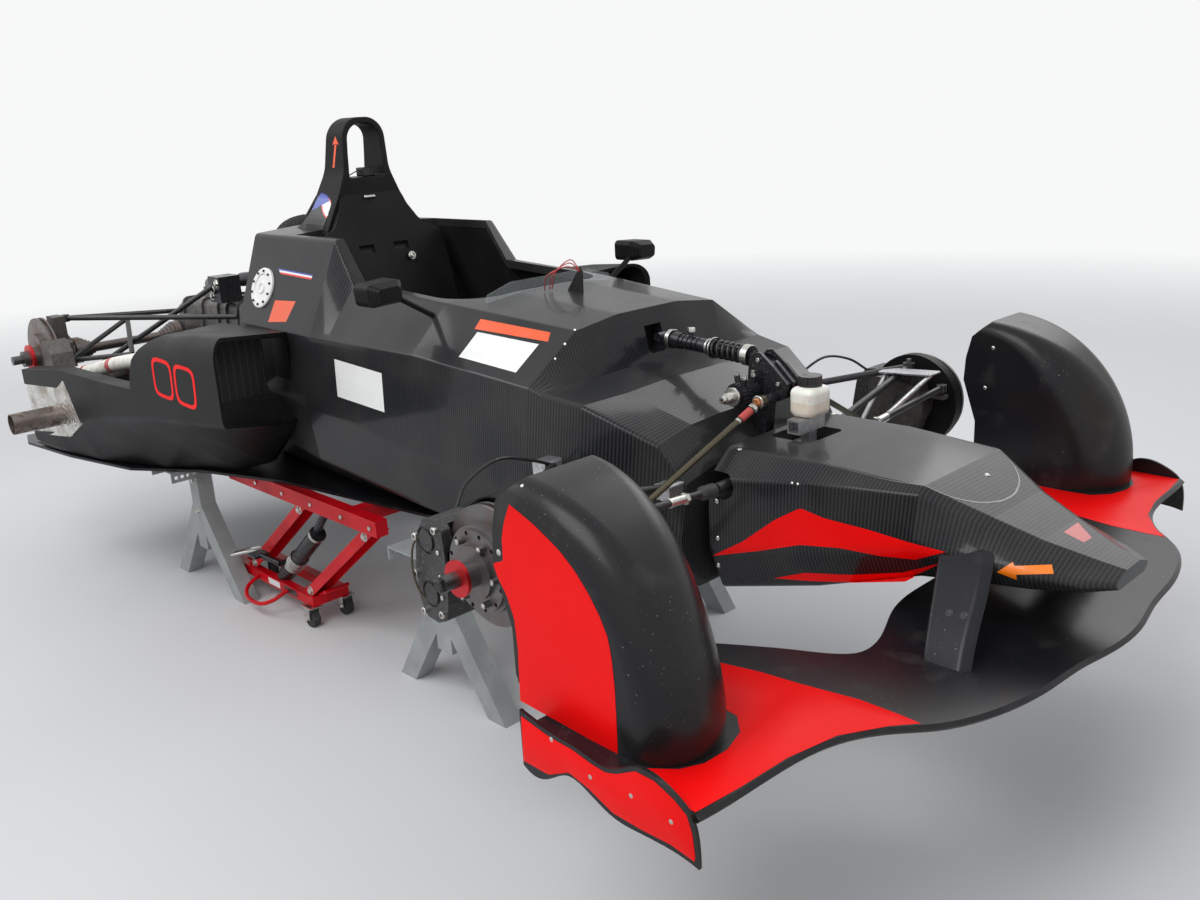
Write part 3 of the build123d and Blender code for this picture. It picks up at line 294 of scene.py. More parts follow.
def worn_finish(name, base, worn, roughness, grain, spread=0.35, metal=0.0, height=0.0002, **fixed):
    """A painted or bare surface: tone drifts in clouds, and small worn or dusty spots show through."""
    material, place = new_finish(name, Metallic=metal, **fixed)
    drift = grade(cloud(place, grain * 0.12, 4.0), 0.35, 0.7)
    spots = grade(cloud(place, grain, 5.0), 0.75 - spread * 0.5, 0.80)
    dark = tuple(c * 0.72 for c in base[:3]) + (1,)
    colour = colour_mix(spots, colour_mix(drift, base, dark), worn)
    feed(material, Base_Color=colour, Roughness=roughness + spots * 0.18 + drift * 0.08,
         Normal=bumped(cloud(place, grain * 2.5, 3.0) + spots * 0.6, height, 0.5))
    return material


satin_black, place = new_finish("satin_black", Specular_IOR_Level=0.16, Coat_Weight=0.22, Coat_Roughness=0.22)
warm = grade(cloud(place, 2.4, 3.0), 0.42, 0.62)
colour = colour_mix(warm, (0.0085, 0.0090, 0.0120, 1), (0.0150, 0.0125, 0.0100, 1))
scrubbed = grade(cloud(place, 16.0, 6.0), 0.56, 0.80)
colour = colour_mix(scrubbed * 0.5, colour, (0.050, 0.047, 0.042, 1))
stones = grade(cloud(place, 330.0, 2.0), 0.735, 0.750) * grade(cloud(place, 6.0, 2.0), 0.46, 0.60)
feed(satin_black, Base_Color=colour_mix(stones, colour, (0.42, 0.40, 0.37, 1)),
     Roughness=0.33 + scrubbed * 0.16 + warm * 0.05,
     Normal=bumped(cloud(place, 620.0, 2.0) * 0.5 - stones, 0.00012, 0.5))
dress(satin_black, "intake_plenum", "fender_left", "fender_right", "front_wing", "wing_pylons", "end_plates",
      "floor_pan")
black_tube = worn_finish("black_tube", (0.020, 0.020, 0.022, 1), (0.11, 0.10, 0.09, 1), 0.36, 220.0)
dress(black_tube, "front_wishbones", "steering_rack", "rear_wishbones", "rear_push_rods", "front_spring")
black_anodised = worn_finish("black_anodised", (0.034, 0.035, 0.040, 1), (0.20, 0.20, 0.20, 1), 0.23, 320.0,
                             metal=0.6)
dress(black_anodised, "front_damper", "front_rocker", "cross_unit", "rear_dampers", "lift_ram")
machined_alloy = worn_finish("machined_alloy", (0.56, 0.57, 0.59, 1), (0.28, 0.26, 0.24, 1), 0.32, 150.0,
                             spread=0.6, metal=0.9)
dress(machined_alloy, "pickup_brackets", "pot_bracket")
rod_steel = worn_finish("rod_steel", (0.105, 0.092, 0.060, 1), (0.045, 0.042, 0.038, 1), 0.30, 180.0,
                        spread=0.4, metal=0.75)
dress(rod_steel, "front_push_rods")
upright_alloy = worn_finish("upright_alloy", (0.170, 0.162, 0.155, 1), (0.085, 0.070, 0.058, 1), 0.42, 110.0,
                            spread=0.7, metal=0.85, height=0.0004)
dress(upright_alloy, "upright_left", "upright_right", "rear_uprights")
oily_casting = worn_finish("oily_casting", (0.16, 0.155, 0.15, 1), (0.055, 0.048, 0.04, 1), 0.45, 60.0,
                           spread=0.6, metal=0.7, height=0.0006)
dress(oily_casting, "engine_block", "gearbox")
caliper_coat = worn_finish("caliper_coat", (0.045, 0.042, 0.044, 1), (0.17, 0.15, 0.14, 1), 0.42, 140.0,
                           spread=0.35, metal=0.3)
dress(caliper_coat, "caliper_left", "caliper_right")
# Painted shade darkens the gaps between the core's fins, and the fin edges are lighter; the whole core is
# kept dark, painted shade for the depth of the duct. The pale lines are tube rows, and grit lies over it.
cooler_core, place = new_finish("cooler_core", Metallic=0.8)
x, y, z = split(place)
fins_and_gap_shade = maths("PINGPONG", z * 420.0, 0.5) * 2
rows = maths("PINGPONG", y * 46.0, 0.5) < 0.07
grit = grade(cloud(place, 140.0, 5.0), 0.45, 0.75)
colour = colour_mix(fins_and_gap_shade, (0.02, 0.02, 0.02, 1), (0.12, 0.12, 0.12, 1))
colour = colour_mix(rows, colour, (0.13, 0.13, 0.13, 1))
feed(cooler_core, Base_Color=colour_mix(grit * 0.6, colour, (0.13, 0.11, 0.09, 1)),
     Roughness=0.4 + grit * 0.2, Normal=bumped(fins_and_gap_shade + rows, 0.0006, 0.7))
dress(cooler_core, "radiators")
grey_enamel = worn_finish("grey_enamel", (0.33, 0.345, 0.345, 1), (0.16, 0.145, 0.13, 1), 0.42, 90.0,
                          spread=0.2)
dress(grey_enamel, "trestle_beams", "trestle_frames")
red_enamel = worn_finish("red_enamel", (0.62, 0.003, 0.010, 1), (0.26, 0.008, 0.010, 1), 0.30, 80.0,
                         spread=0.15, Specular_IOR_Level=0.14, Coat_Weight=0.1, Coat_Roughness=0.15)
dress(red_enamel, "lift_saddle", "lift_base", "lift_arms")
castor_rubber = worn_finish("castor_rubber", (0.022, 0.022, 0.022, 1), (0.13, 0.12, 0.11, 1), 0.62, 120.0)
dress(castor_rubber, "lift_castors")
FLUID_TOP = 0.804
CAP_FOOT = 0.8335
pot_plastic, place = new_finish("pot_plastic", Subsurface_Weight=0.3, Coat_Weight=0.2)
height = split(place)[2]
is_fluid = grade(height + cloud(place, 30.0) * 0.002, FLUID_TOP, FLUID_TOP - 0.003)
is_cap = height > CAP_FOOT
colour = colour_mix(is_fluid, (0.86, 0.84, 0.76, 1), (0.78, 0.68, 0.58, 1))
grime = grade(cloud(place, 70.0, 5.0), 0.5, 0.75)
colour = colour_mix(grime * 0.3, colour, (0.30, 0.24, 0.16, 1))
feed(pot_plastic, Base_Color=colour_mix(is_cap, colour, (0.018, 0.018, 0.019, 1)),
     Roughness=0.30 + grime * 0.3, Normal=bumped(cloud(place, 160.0, 3.0), 0.0004, 0.4))
dress(pot_plastic, "fluid_pot")

# The wind screen is a low strip of clear plastic, screwed to the deck in front of the cockpit.
# It shows mostly by its bright edges and a few fine scratches.
clear_sheet, place = new_finish("clear_sheet", Base_Color=(0.55, 0.60, 0.60, 1), IOR=1.49, Alpha=0.15)
feed(clear_sheet, Roughness=0.06 + grade(cloud(place, 90.0, 6.0), 0.55, 0.75) * 0.3)
dress(clear_sheet, "wind_screen")

# The brake discs are turned iron on alloy bells. Pads have polished rings into them, and a few
# days' standing has put a bloom of rust on the rest. Red nuts hold the wheels.
# A nut's reach is the distance from the car's middle to its inner and outer face.
FRONT_HUB_PLACE, FRONT_NUT_REACH = (0.975, 0.631), (0.8118, 0.8192)
REAR_HUB_PLACE, REAR_NUT_REACH = (-1.625, 0.701), (0.6795, 0.6895)


def turned_iron(name, centre, nut_reach, iron, spread):
    """Rings about the axle: tone follows the distance from it, and rust clouds lie over that."""
    material, place = new_finish(name, Metallic=0.75)
    x, y, z = split(place)
    reach_x = x - centre[0]
    reach_z = z - centre[1]
    distance = maths("SQRT", reach_x * reach_x + reach_z * reach_z)
    rings = cloud(place.node("ShaderNodeCombineXYZ", {}, {0: distance}), 900.0, 2.0)
    rust = grade(cloud(place, 38.0, 6.0), 0.44, 0.72) * spread
    colour = colour_mix(rust, iron, (0.20, 0.105, 0.065, 1))
    colour = colour_mix(grade(rings, 0.3, 0.8) * 0.5, colour, (0.12, 0.11, 0.105, 1))
    out = maths("ABSOLUTE", y)
    colour = colour_mix(out > nut_reach[1], colour, (0.10, 0.10, 0.10, 1))
    is_nut = (out > nut_reach[0]) * (out < nut_reach[1])
    colour = colour_mix(is_nut, colour, (0.60, 0.022, 0.028, 1))
    feed(material, Base_Color=colour, Roughness=0.34 + rust * 0.3, Normal=bumped(rings + rust, 0.00025, 0.5))
    return material


dress(turned_iron("front_iron", FRONT_HUB_PLACE, FRONT_NUT_REACH, (0.165, 0.160, 0.165, 1), 0.45),
      "front_hub_left", "front_hub_right")
dress(turned_iron("rear_iron", REAR_HUB_PLACE, REAR_NUT_REACH, (0.17, 0.15, 0.145, 1), 0.8),
      "rear_hub_left", "rear_hub_right")

# The silencer pipe is bare steel that heat has turned from straw to copper brown, with soot at
# its open end. A crinkled foil shield keeps its heat off the pod.
burnt_pipe, place = new_finish("burnt_pipe", Metallic=0.85)
heat = grade(split(place)[0] + cloud(place, 14.0) * 0.12, -1.62, -1.1)
tints = [(0.0, (0.44, 0.27, 0.16)), (0.35, (0.40, 0.22, 0.13)), (0.6, (0.30, 0.24, 0.20)),
         (1.0, (0.16, 0.14, 0.13))]
tint = place.node("ShaderNodeValToRGB", {"stops": tints}, {0: heat})
soot = grade(cloud(place, 55.0, 6.0), 0.45, 0.72)
feed(burnt_pipe, Base_Color=colour_mix(soot, tint, (0.07, 0.05, 0.04, 1)), Roughness=0.34 + soot * 0.35,
     Normal=bumped(cloud(place, 240.0, 5.0), 0.0004, 0.6))
dress(burnt_pipe, "exhaust_pipe")
crinkled_foil, place = new_finish("crinkled_foil", Metallic=1.0)
folds = place.node("ShaderNodeTexVoronoi", {"feature": "DISTANCE_TO_EDGE"}, {"Vector": place, "Scale": 55.0})
grime = grade(cloud(place, 16.0, 5.0), 0.45, 0.7)
feed(crinkled_foil, Base_Color=colour_mix(grime, (0.74, 0.73, 0.70, 1), (0.34, 0.29, 0.24, 1)),
     Roughness=0.24 + grime * 0.25, Normal=bumped(folds + cloud(place, 120.0, 4.0) * 0.3, 0.004, 0.8))
dress(crinkled_foil, "heat_shield")

# Red vinyl covers the outer side of each fender, the outer face of each end plate and a
# pointed field on each side of the wing. It was cut by hand and rolled on over the black.
CAR_PLACE = (0.975, 0.0, 0.431)


def on_car(points):
    """Points measured from the front axle line and the flat floor, put where the stands hold the car."""
    return np.asarray(points, float) + CAR_PLACE


def spaced(points, count):
    """A line of points at even steps along straight runs through the given ones."""
    points = np.asarray(points, float)
    way = np.concatenate([[0.0], np.cumsum(np.linalg.norm(np.diff(points, axis=0), axis=1))])
    return np.stack([np.interp(np.linspace(0, way[-1], count), way, part) for part in points.T], axis=1)


def patch(first, second, rows, columns):
    """A grid of points ruled from one edge line to the other."""
    first, second = spaced(first, rows), spaced(second, rows)
    share = np.linspace(0, 1, columns)[None, :, None]
    return first[:, None] * (1 - share) + second[:, None] * share


WELD = 0.000002


def skin(name, points, material, body="root", ring=False, capped=False, sharp=35.0):
    """A piece from grids of points: rows along it, and columns across it or, in a ring, round it."""
    points = np.asarray(points, float)
    count, rows, columns = points.reshape(-1, *points.shape[-3:]).shape[:3]
    index = np.arange(count * rows * columns).reshape(count, rows, columns)
    wrapped = np.concatenate([index, index[:, :, :1]], axis=2) if ring else index
    corners = [wrapped[:, :-1, :-1], wrapped[:, :-1, 1:], wrapped[:, 1:, 1:], wrapped[:, 1:, :-1]]
    faces = np.stack(corners, axis=-1).reshape(-1, 4).tolist()
    if capped:
        faces += index[:, 0, ::-1].tolist() + index[:, -1].tolist()
    mesh = bpy.data.meshes.new(name)
    mesh.from_pydata(points.reshape(-1, 3).tolist(), [], faces)
    work = bmesh.new()
    work.from_mesh(mesh)
    bmesh.ops.remove_doubles(work, verts=work.verts, dist=WELD)
    bmesh.ops.recalc_face_normals(work, faces=work.faces)
    work.to_mesh(mesh)
    work.free()
    mesh.polygons.foreach_set("use_smooth", [True] * len(mesh.polygons))
    mesh.set_sharp_from_angle(angle=np.radians(sharp))
    mesh.materials.append(material)
    piece = bpy.data.objects.new(name, mesh)
    bpy.context.scene.collection.objects.link(piece)
    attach(piece, body)


LAYING_START = 0.08
LAYING_REACH = 0.5
UNMOVED = 0.00001


def laid(points, lift, onto):
    """The grid dropped against the lift direction until it lies on a node's skin."""
    flat = points.reshape(-1, 3) + lift * LAYING_START
    turn = Vector(lift).to_track_quat("Z", "Y").to_matrix()
    mesh = bpy.data.meshes.new("laying")
    mesh.from_pydata((flat @ np.array(turn)).tolist(), [], [])
    piece = bpy.data.objects.new("laying", mesh)
    piece.matrix_world = turn.to_4x4()
    bpy.context.scene.collection.objects.link(piece)
    wrap = piece.modifiers.new("onto", "SHRINKWRAP")
    wrap.target = node[onto]
    wrap.wrap_method = "PROJECT"
    wrap.use_project_x, wrap.use_project_y, wrap.use_project_z = False, False, True
    wrap.use_negative_direction = True
    wrap.use_positive_direction = False
    wrap.project_limit = LAYING_REACH
    bpy.context.view_layer.update()
    moved = piece.evaluated_get(bpy.context.evaluated_depsgraph_get()).data
    found = np.empty(flat.size)
    moved.vertices.foreach_get("co", found)
    bpy.data.objects.remove(piece)
    found = found.reshape(-1, 3) @ np.array(turn).T
    missed = np.linalg.norm(found - flat, axis=1) < UNMOVED
    return np.where(missed[:, None], points.reshape(-1, 3), found).reshape(points.shape)


FILM_GAP = 0.00015
FILM_THICK = 0.0004


def film(name, points, material, lift, onto, capped=True):
    """A thin film over a grid of points that is first laid on the node under it, against the lift."""
    lift = np.asarray(lift, float)
    points = laid(np.asarray(points, float), lift, onto)
    low = points + lift * FILM_GAP
    high = points + lift * (FILM_GAP + FILM_THICK)
    closed = np.concatenate([high, low[:, ::-1]], axis=1)
    skin(name, closed, material, ring=True, capped=capped)


def unit(rows):
    """The same directions with a length of one."""
    rows = np.asarray(rows, float)
    return rows / np.linalg.norm(rows, axis=-1, keepdims=True)


def layered(outline, lift, steps):
    """A plate: its closed outline repeated at each (inset, height) step along the lift direction.

    Inset points move square to the outline, in its own plane, towards its inside.
    """
    outline = np.asarray(outline, float)
    lift = unit(lift)
    edge = unit(np.roll(outline, -1, axis=0) - np.roll(outline, 1, axis=0))
    inward = np.cross(lift, edge)
    middle = outline.mean(axis=0)
    inward = inward * np.sign(((middle - outline) * inward).sum())
    inset, height = np.asarray(steps, float).T
    return outline[None] + inset[:, None, None] * inward[None] + height[:, None, None] * lift


red_vinyl, place = new_finish("red_vinyl", Specular_IOR_Level=0.10, Coat_Weight=0.03, Coat_Roughness=0.2)
chips = grade(cloud(place, 420.0, 3.0), 0.70, 0.74) * grade(cloud(place, 20.0), 0.45, 0.7)
sun = grade(cloud(place, 3.0, 4.0), 0.3, 0.7)
colour = colour_mix(sun, (0.90, 0.0035, 0.0035, 1), (0.80, 0.003, 0.003, 1))
feed(red_vinyl, Base_Color=colour_mix(chips, colour, (0.10, 0.02, 0.02, 1)), Roughness=0.36 + sun * 0.1,
     Normal=bumped(cloud(place, 26.0, 2.0), 0.0009, 0.4))

FENDER_SIDE = 0.855
PLATE_SIDE = 0.899
WING_TOP = 0.046
PANEL_BACK = [(0.199, 0.052), (0.204, 0.148), (0.201, 0.200), (0.186, 0.237), (0.167, 0.262), (0.158, 0.284),
              (0.185, 0.295), (0.186, 0.333), (0.195, 0.362), (0.211, 0.395)]
PANEL_FRONT = [(0.424, 0.044), (0.425, 0.104), (0.425, 0.158), (0.422, 0.202), (0.416, 0.235), (0.401, 0.265),
               (0.380, 0.294), (0.353, 0.323), (0.320, 0.348), (0.267, 0.375), (0.230, 0.389)]
PLATE_TOP = [(0.254, 0.064), (0.283, 0.059), (0.321, 0.053), (0.370, 0.052), (0.412, 0.045), (0.441, 0.043),
             (0.464, 0.050), (0.504, 0.072), (0.541, 0.072), (0.576, 0.059), (0.600, 0.044), (0.609, 0.018),
             (0.613, -0.017)]
PLATE_FOOT = [(0.251, -0.017), (0.311, -0.017), (0.360, 0.008), (0.402, -0.001), (0.453, -0.020),
              (0.509, -0.021), (0.567, -0.018), (0.611, -0.024)]
WING_FIELD = [(0.330, -0.545), (0.430, -0.520), (0.505, -0.510), (0.607, -0.491), (0.679, -0.490),
              (0.716, -0.492), (0.684, -0.529), (0.640, -0.603), (0.620, -0.700), (0.615, -0.800),
              (0.606, -0.888), (0.470, -0.888), (0.462, -0.868), (0.490, -0.850), (0.520, -0.826),
              (0.538, -0.790), (0.540, -0.740), (0.524, -0.690), (0.490, -0.656), (0.440, -0.650),
              (0.330, -0.650)]


def flat_film(name, outline, lift, material, thick=FILM_THICK):
    """A film cut to one closed outline, with its edge rolled down a little."""
    steps = [(0, FILM_GAP), (0, FILM_GAP + thick * 0.7), (thick, FILM_GAP + thick)]
    skin(name, layered(outline, lift, steps)[None], material, ring=True, capped=True)


SIDES = (("left", 1), ("right", -1))
for side, sign in SIDES:
    back, front = [[(x, sign * FENDER_SIDE, z) for x, z in edge] for edge in (PANEL_BACK, PANEL_FRONT)]
    film(f"fender_panel_{side}", on_car(patch(back, front, 40, 24)), red_vinyl,
         lift=(0, sign, 0), onto=f"fender_{side}")
    plate_edge = np.concatenate([spaced(PLATE_TOP, 90), spaced(PLATE_FOOT[::-1], 60)])
    face = [(x, sign * PLATE_SIDE, z) for x, z in plate_edge]
    flat_film(f"plate_face_{side}", on_car(face), (0, sign, 0), red_vinyl)
    field = [(x, -sign * y, WING_TOP) for x, y in WING_FIELD]
    flat_film(f"wing_field_{side}", on_car(field), (0, 0, 1), red_vinyl)

# Small stickers: plain plates, stripes and arrows of printed film, which are left blank.
# Columns: name, corner points, tint, node that it lies on.
PAPER_TINTS = {
    "white": (0.80, 0.80, 0.78, 1),
    "orange": (0.98, 0.215, 0.0, 1),
    "flame": (0.86, 0.085, 0.008, 1),
    "blue": (0.02, 0.045, 0.35, 1),
    "pale_red": (0.48, 0.050, 0.042, 1),
    "red": (0.80, 0.02, 0.02, 1),
    "black": (0.012, 0.012, 0.012, 1),
}
sticker_paper = {}
for tint, colour in PAPER_TINTS.items():
    paper, place = new_finish(f"sticker_{tint}", Coat_Weight=0.3, Coat_Roughness=0.2)
    dirt = grade(cloud(place, 24.0, 6.0), 0.52, 0.85) * 0.16
    feed(paper, Base_Color=colour_mix(dirt, colour, (0.30, 0.27, 0.22, 1)), Roughness=0.38 + dirt * 0.4,
         Normal=bumped(cloud(place, 90.0, 2.0), 0.0003, 0.3))
    sticker_paper[tint] = paper
STICKERS = [
    ("flank_plate", [(-1.055, -0.40, 0.393), (-0.834, -0.40, 0.382), (-0.842, -0.40, 0.281),
                     (-1.060, -0.40, 0.291)], "white", "tub"),
    ("orange_strip", [(-0.498, -0.34, 0.539), (-0.250, -0.34, 0.531), (-0.262, -0.34, 0.509),
                      (-0.523, -0.34, 0.513)], "flame", "tub"),
    ("rail_plate", [(-0.511, -0.34, 0.508), (-0.292, -0.34, 0.502), (-0.307, -0.40, 0.448),
                    (-0.511, -0.40, 0.460)], "white", "tub"),
    ("stripe_top", [(-1.517, -0.28, 0.588), (-1.326, -0.28, 0.580), (-1.329, -0.28, 0.576),
                    (-1.514, -0.28, 0.583)], "blue", "tub"),
    ("stripe_middle", [(-1.514, -0.28, 0.583), (-1.329, -0.28, 0.576), (-1.333, -0.28, 0.571),
                       (-1.510, -0.28, 0.577)], "white", "tub"),
    ("stripe_low", [(-1.510, -0.28, 0.577), (-1.333, -0.28, 0.571), (-1.337, -0.28, 0.566),
                    (-1.505, -0.28, 0.572)], "red", "tub"),
    ("nose_arrow_body", [(0.680, -0.135, 0.178), (0.748, -0.135, 0.199), (0.752, -0.135, 0.183),
                         (0.685, -0.135, 0.163)], "orange", "nose_box"),
    ("nose_arrow_head", [(0.652, -0.135, 0.159), (0.680, -0.135, 0.186), (0.6848, -0.135, 0.170),
                         (0.689, -0.135, 0.154)], "orange", "nose_box"),
    ("nose_plate", [(0.736, -0.072, 0.235), (0.735, -0.011, 0.235), (0.785, -0.069, 0.235),
                    (0.783, -0.099, 0.235)], "pale_red", "nose_box"),
    ("hoop_arrow_body", [(-1.459, -0.08, 0.925), (-1.448, -0.08, 0.925), (-1.458, -0.09, 0.860),
                         (-1.468, -0.09, 0.860)], "flame", "roll_hoop"),
    ("hoop_arrow_head", [(-1.450, -0.08, 0.949), (-1.436, -0.08, 0.925), (-1.453, -0.08, 0.927),
                         (-1.470, -0.08, 0.925)], "flame", "roll_hoop"),
    ("flank_tape", [(-1.381, -0.375, 0.519), (-1.262, -0.375, 0.525), (-1.334, -0.375, 0.461),
                    (-1.441, -0.375, 0.451)], "flame", "tub"),
]


def sight(points):
    """The direction from the middle of some points to the camera, along which the photograph shows them."""
    return unit(np.array(CAMERA_PLACE) - np.mean(points, axis=0))


for name, corners, tint, onto in STICKERS:
    a, b, c, d = on_car(corners)
    film(name, patch([a, d], [b, c], 16, 28), sticker_paper[tint], lift=sight([a, b, c, d]),
         onto=onto)
triangle = [(-1.518, -0.15, 0.800), (-1.462, -0.15, 0.768), (-1.506, -0.15, 0.750), (-1.556, -0.15, 0.732)]
a, b, c, d = on_car(triangle)
film("blue_triangle", patch([a, d], [b, c], 16, 16), sticker_paper["blue"], lift=(0, -1, 0),
     onto="hoop_fairing")
DISC_PLACE = (-1.441, -0.14, 0.750)
DISC_RINGS = [("disc_white", "white", 0.0001, 0.026), ("disc_rim", "red", 0.026, 0.032)]
disc_turn = np.linspace(0, 2 * np.pi, 49)[:, None, None]
rim = np.cos(disc_turn) * (1, 0, 0) + np.sin(disc_turn) * (0, 0, 1)
for name, tint, inner, outer in DISC_RINGS:
    round_disc = on_car(DISC_PLACE) + np.linspace(inner, outer, 8)[None, :, None] * rim
    film(name, round_disc, sticker_paper[tint], lift=sight(round_disc[0]), onto="hoop_fairing",
         capped=False)

# Two rounded red outlines stand side by side on the right pod. They are bands of the same vinyl,
# cut along a square whose corners are rounded: a circle's cosine and sine, raised to a low power.
OUTLINE_POWER = 0.45
BAND_SHARE = 0.18
OUTLINE_CORNERS = np.array([(-1.364, -0.76, 0.431), (-1.116, -0.76, 0.425),
                            (-1.128, -0.76, 0.317), (-1.372, -0.76, 0.327)])
top_left, top_right, foot_right, foot_left = OUTLINE_CORNERS
loop_turn = np.linspace(0, 2 * np.pi, 97)[:, None]
across, upward = [0.5 + 0.5 * np.sign(part) * np.abs(part) ** OUTLINE_POWER
                  for part in (np.cos(loop_turn), np.sin(loop_turn))]
for index, (start, end) in enumerate(((0.0, 0.475), (0.525, 1.0))):
    share = start + (end - start) * across
    top = top_left + (top_right - top_left) * share
    foot = foot_left + (foot_right - foot_left) * share
    loop = foot + (top - foot) * upward
    middle = loop[:-1].mean(axis=0)
    band = np.stack([loop + (middle - loop) * inset for inset in np.linspace(0, BAND_SHARE, 5)], axis=1)
    film(f"number_panel_{index}", on_car(band), red_vinyl, lift=(0, -1, 0),
         onto="side_pod_right", capped=False)

# Two pointed strokes of red vinyl run along each side of the nose, a broad one over a thin one.
# Columns: name, upper edge, lower edge, as distances ahead of the axle and heights.
NOSE_STROKES = [
    ("broad",
     [(0.066, 0.065), (0.150, 0.118), (0.231, 0.184), (0.291, 0.222), (0.346, 0.214), (0.446, 0.214),
      (0.528, 0.210), (0.604, 0.210)],
     [(0.066, 0.065), (0.193, 0.109), (0.291, 0.146), (0.382, 0.162), (0.468, 0.168), (0.545, 0.180),
      (0.604, 0.210)]),
    ("thin",
     [(0.225, 0.058), (0.300, 0.090), (0.405, 0.114), (0.520, 0.150), (0.597, 0.190)],
     [(0.225, 0.058), (0.300, 0.073), (0.405, 0.098), (0.520, 0.132), (0.597, 0.190)]),
]
NOSE_SIDE = -0.215
for name, top, foot in NOSE_STROKES:
    top, foot = [on_car([(x, NOSE_SIDE, z) for x, z in edge]) for edge in (top, foot)]
    stroke = patch(foot, top, 60, 12)
    way = sight(stroke.reshape(-1, 3))
    for side, sign in SIDES[::-1]:
        film(f"nose_{name}_{side}", stroke * (1, -sign, 1), red_vinyl, lift=way * (1, -sign, 1),
             onto="nose_box")

# Fasteners hold every panel and block: zinc plated steel for the most part, some blacked, and one
# copper plated. Each kind is a small turned shape, set at its places with the way that it faces.
# Profile columns: share of the radius, share of the radius above the seat.
HEAD_SINK = 0.0004
BOLT_CAP = [(0.0, 0.45), (0.48, 0.45), (0.52, 1.10), (0.88, 1.10), (1.0, 0.98), (1.0, 0.0), (0.0, 0.0)]
DOME = [(0.0, 0.42), (0.30, 0.40), (0.62, 0.31), (0.88, 0.14), (1.0, 0.0), (0.0, 0.0)]
HEXAGON = [(0.0, 0.80), (0.84, 0.80), (1.0, 0.68), (1.0, 0.0), (0.0, 0.0)]
WASHER = [(0.0, 0.18), (1.42, 0.18), (1.50, 0.12), (1.50, 0.0), (0.0, 0.0)]
fastener_metal = {
    "zinc": worn_finish("zinc_plate", (0.62, 0.61, 0.58, 1), (0.24, 0.20, 0.16, 1), 0.26, 300.0, spread=0.3,
                        metal=1.0),
    "black": worn_finish("black_oxide", (0.03, 0.03, 0.032, 1), (0.15, 0.13, 0.12, 1), 0.35, 300.0,
                         metal=0.6),
    "copper": worn_finish("copper_plate", (0.65, 0.25, 0.10, 1), (0.25, 0.12, 0.07, 1), 0.30, 300.0,
                          metal=0.9),
}
zinc, blacked = fastener_metal["zinc"], fastener_metal["black"]


def turned(places, axes, profile, columns=20):
    """A profile of (radius, height) rows turned round an axis at each place: rings stacked along the axis."""
    places = np.atleast_2d(np.asarray(places, float))
    axes = unit(np.broadcast_to(axes, places.shape))
    other = np.where(np.abs(axes[:, 2:]) > 0.9, (1.0, 0.0, 0.0), (0.0, 0.0, 1.0))
    aside = unit(np.cross(axes, other))
    above = np.cross(axes, aside)
    turn = np.linspace(0, 2 * np.pi, columns, endpoint=False)
    round_axis = (np.cos(turn)[None, :, None] * aside[:, None]
                  + np.sin(turn)[None, :, None] * above[:, None])
    radius, height = np.asarray(profile, float).T
    return (places[:, None, None] + radius[None, :, None, None] * round_axis[:, None]
            + height[None, :, None, None] * axes[:, None, None])


def fasteners(name, places, facing, radius, kind, metal, body="root", washer=False):
    """Heads of one kind and size, all in one piece, each sunk a hair into its seat."""
    places = on_car(places)
    axes = np.broadcast_to(facing, places.shape)
    sink = places - unit(axes) * HEAD_SINK
    heads = turned(sink, axes, np.array(kind) * radius, 6 if kind is HEXAGON else 18)
    skin(name, heads, fastener_metal[metal], body, ring=True)
    if washer:
        rings = turned(sink, axes, np.array(WASHER) * radius, 20)
        skin(f"{name}_washers", rings, zinc, body, ring=True)


PLATE_SCREWS = [(0.324, 0.050), (0.408, 0.021), (0.493, 0.027), (0.570, 0.020)]
for side, sign in SIDES:
    fasteners(f"plate_screws_{side}", [(x, sign * (PLATE_SIDE - 0.0002), z) for x, z in PLATE_SCREWS],
              (0, sign, 0), 0.0052, DOME, "zinc")

# Front springing: silver collars on the damper, a copper bolt at the push rod's head, a stepped
# steel tip on the cross unit, and small screws through the rocker's plates.
OUT_RIGHT = (0, -1, 0)
DAMPER_REAR = on_car((-0.225, 0.0, 0.461))
DAMPER_WAY = unit(on_car((0.036, 0.0, 0.446)) - DAMPER_REAR)


def sleeve(inner, outer, start, end, bevel=0.0006):
    """The profile of a ring: up its outside between two heights and back down its bore."""
    return [(inner, start), (outer - bevel, start), (outer, start + bevel), (outer, end - bevel),
            (outer - bevel, end), (inner, end), (inner, start)]


def spun(name, place, axis, profile, columns, material, body="root", sharp=35.0):
    """A piece turned from one profile about one axis."""
    skin(name, turned(place, axis, profile, columns), material, body, ring=True, sharp=sharp)


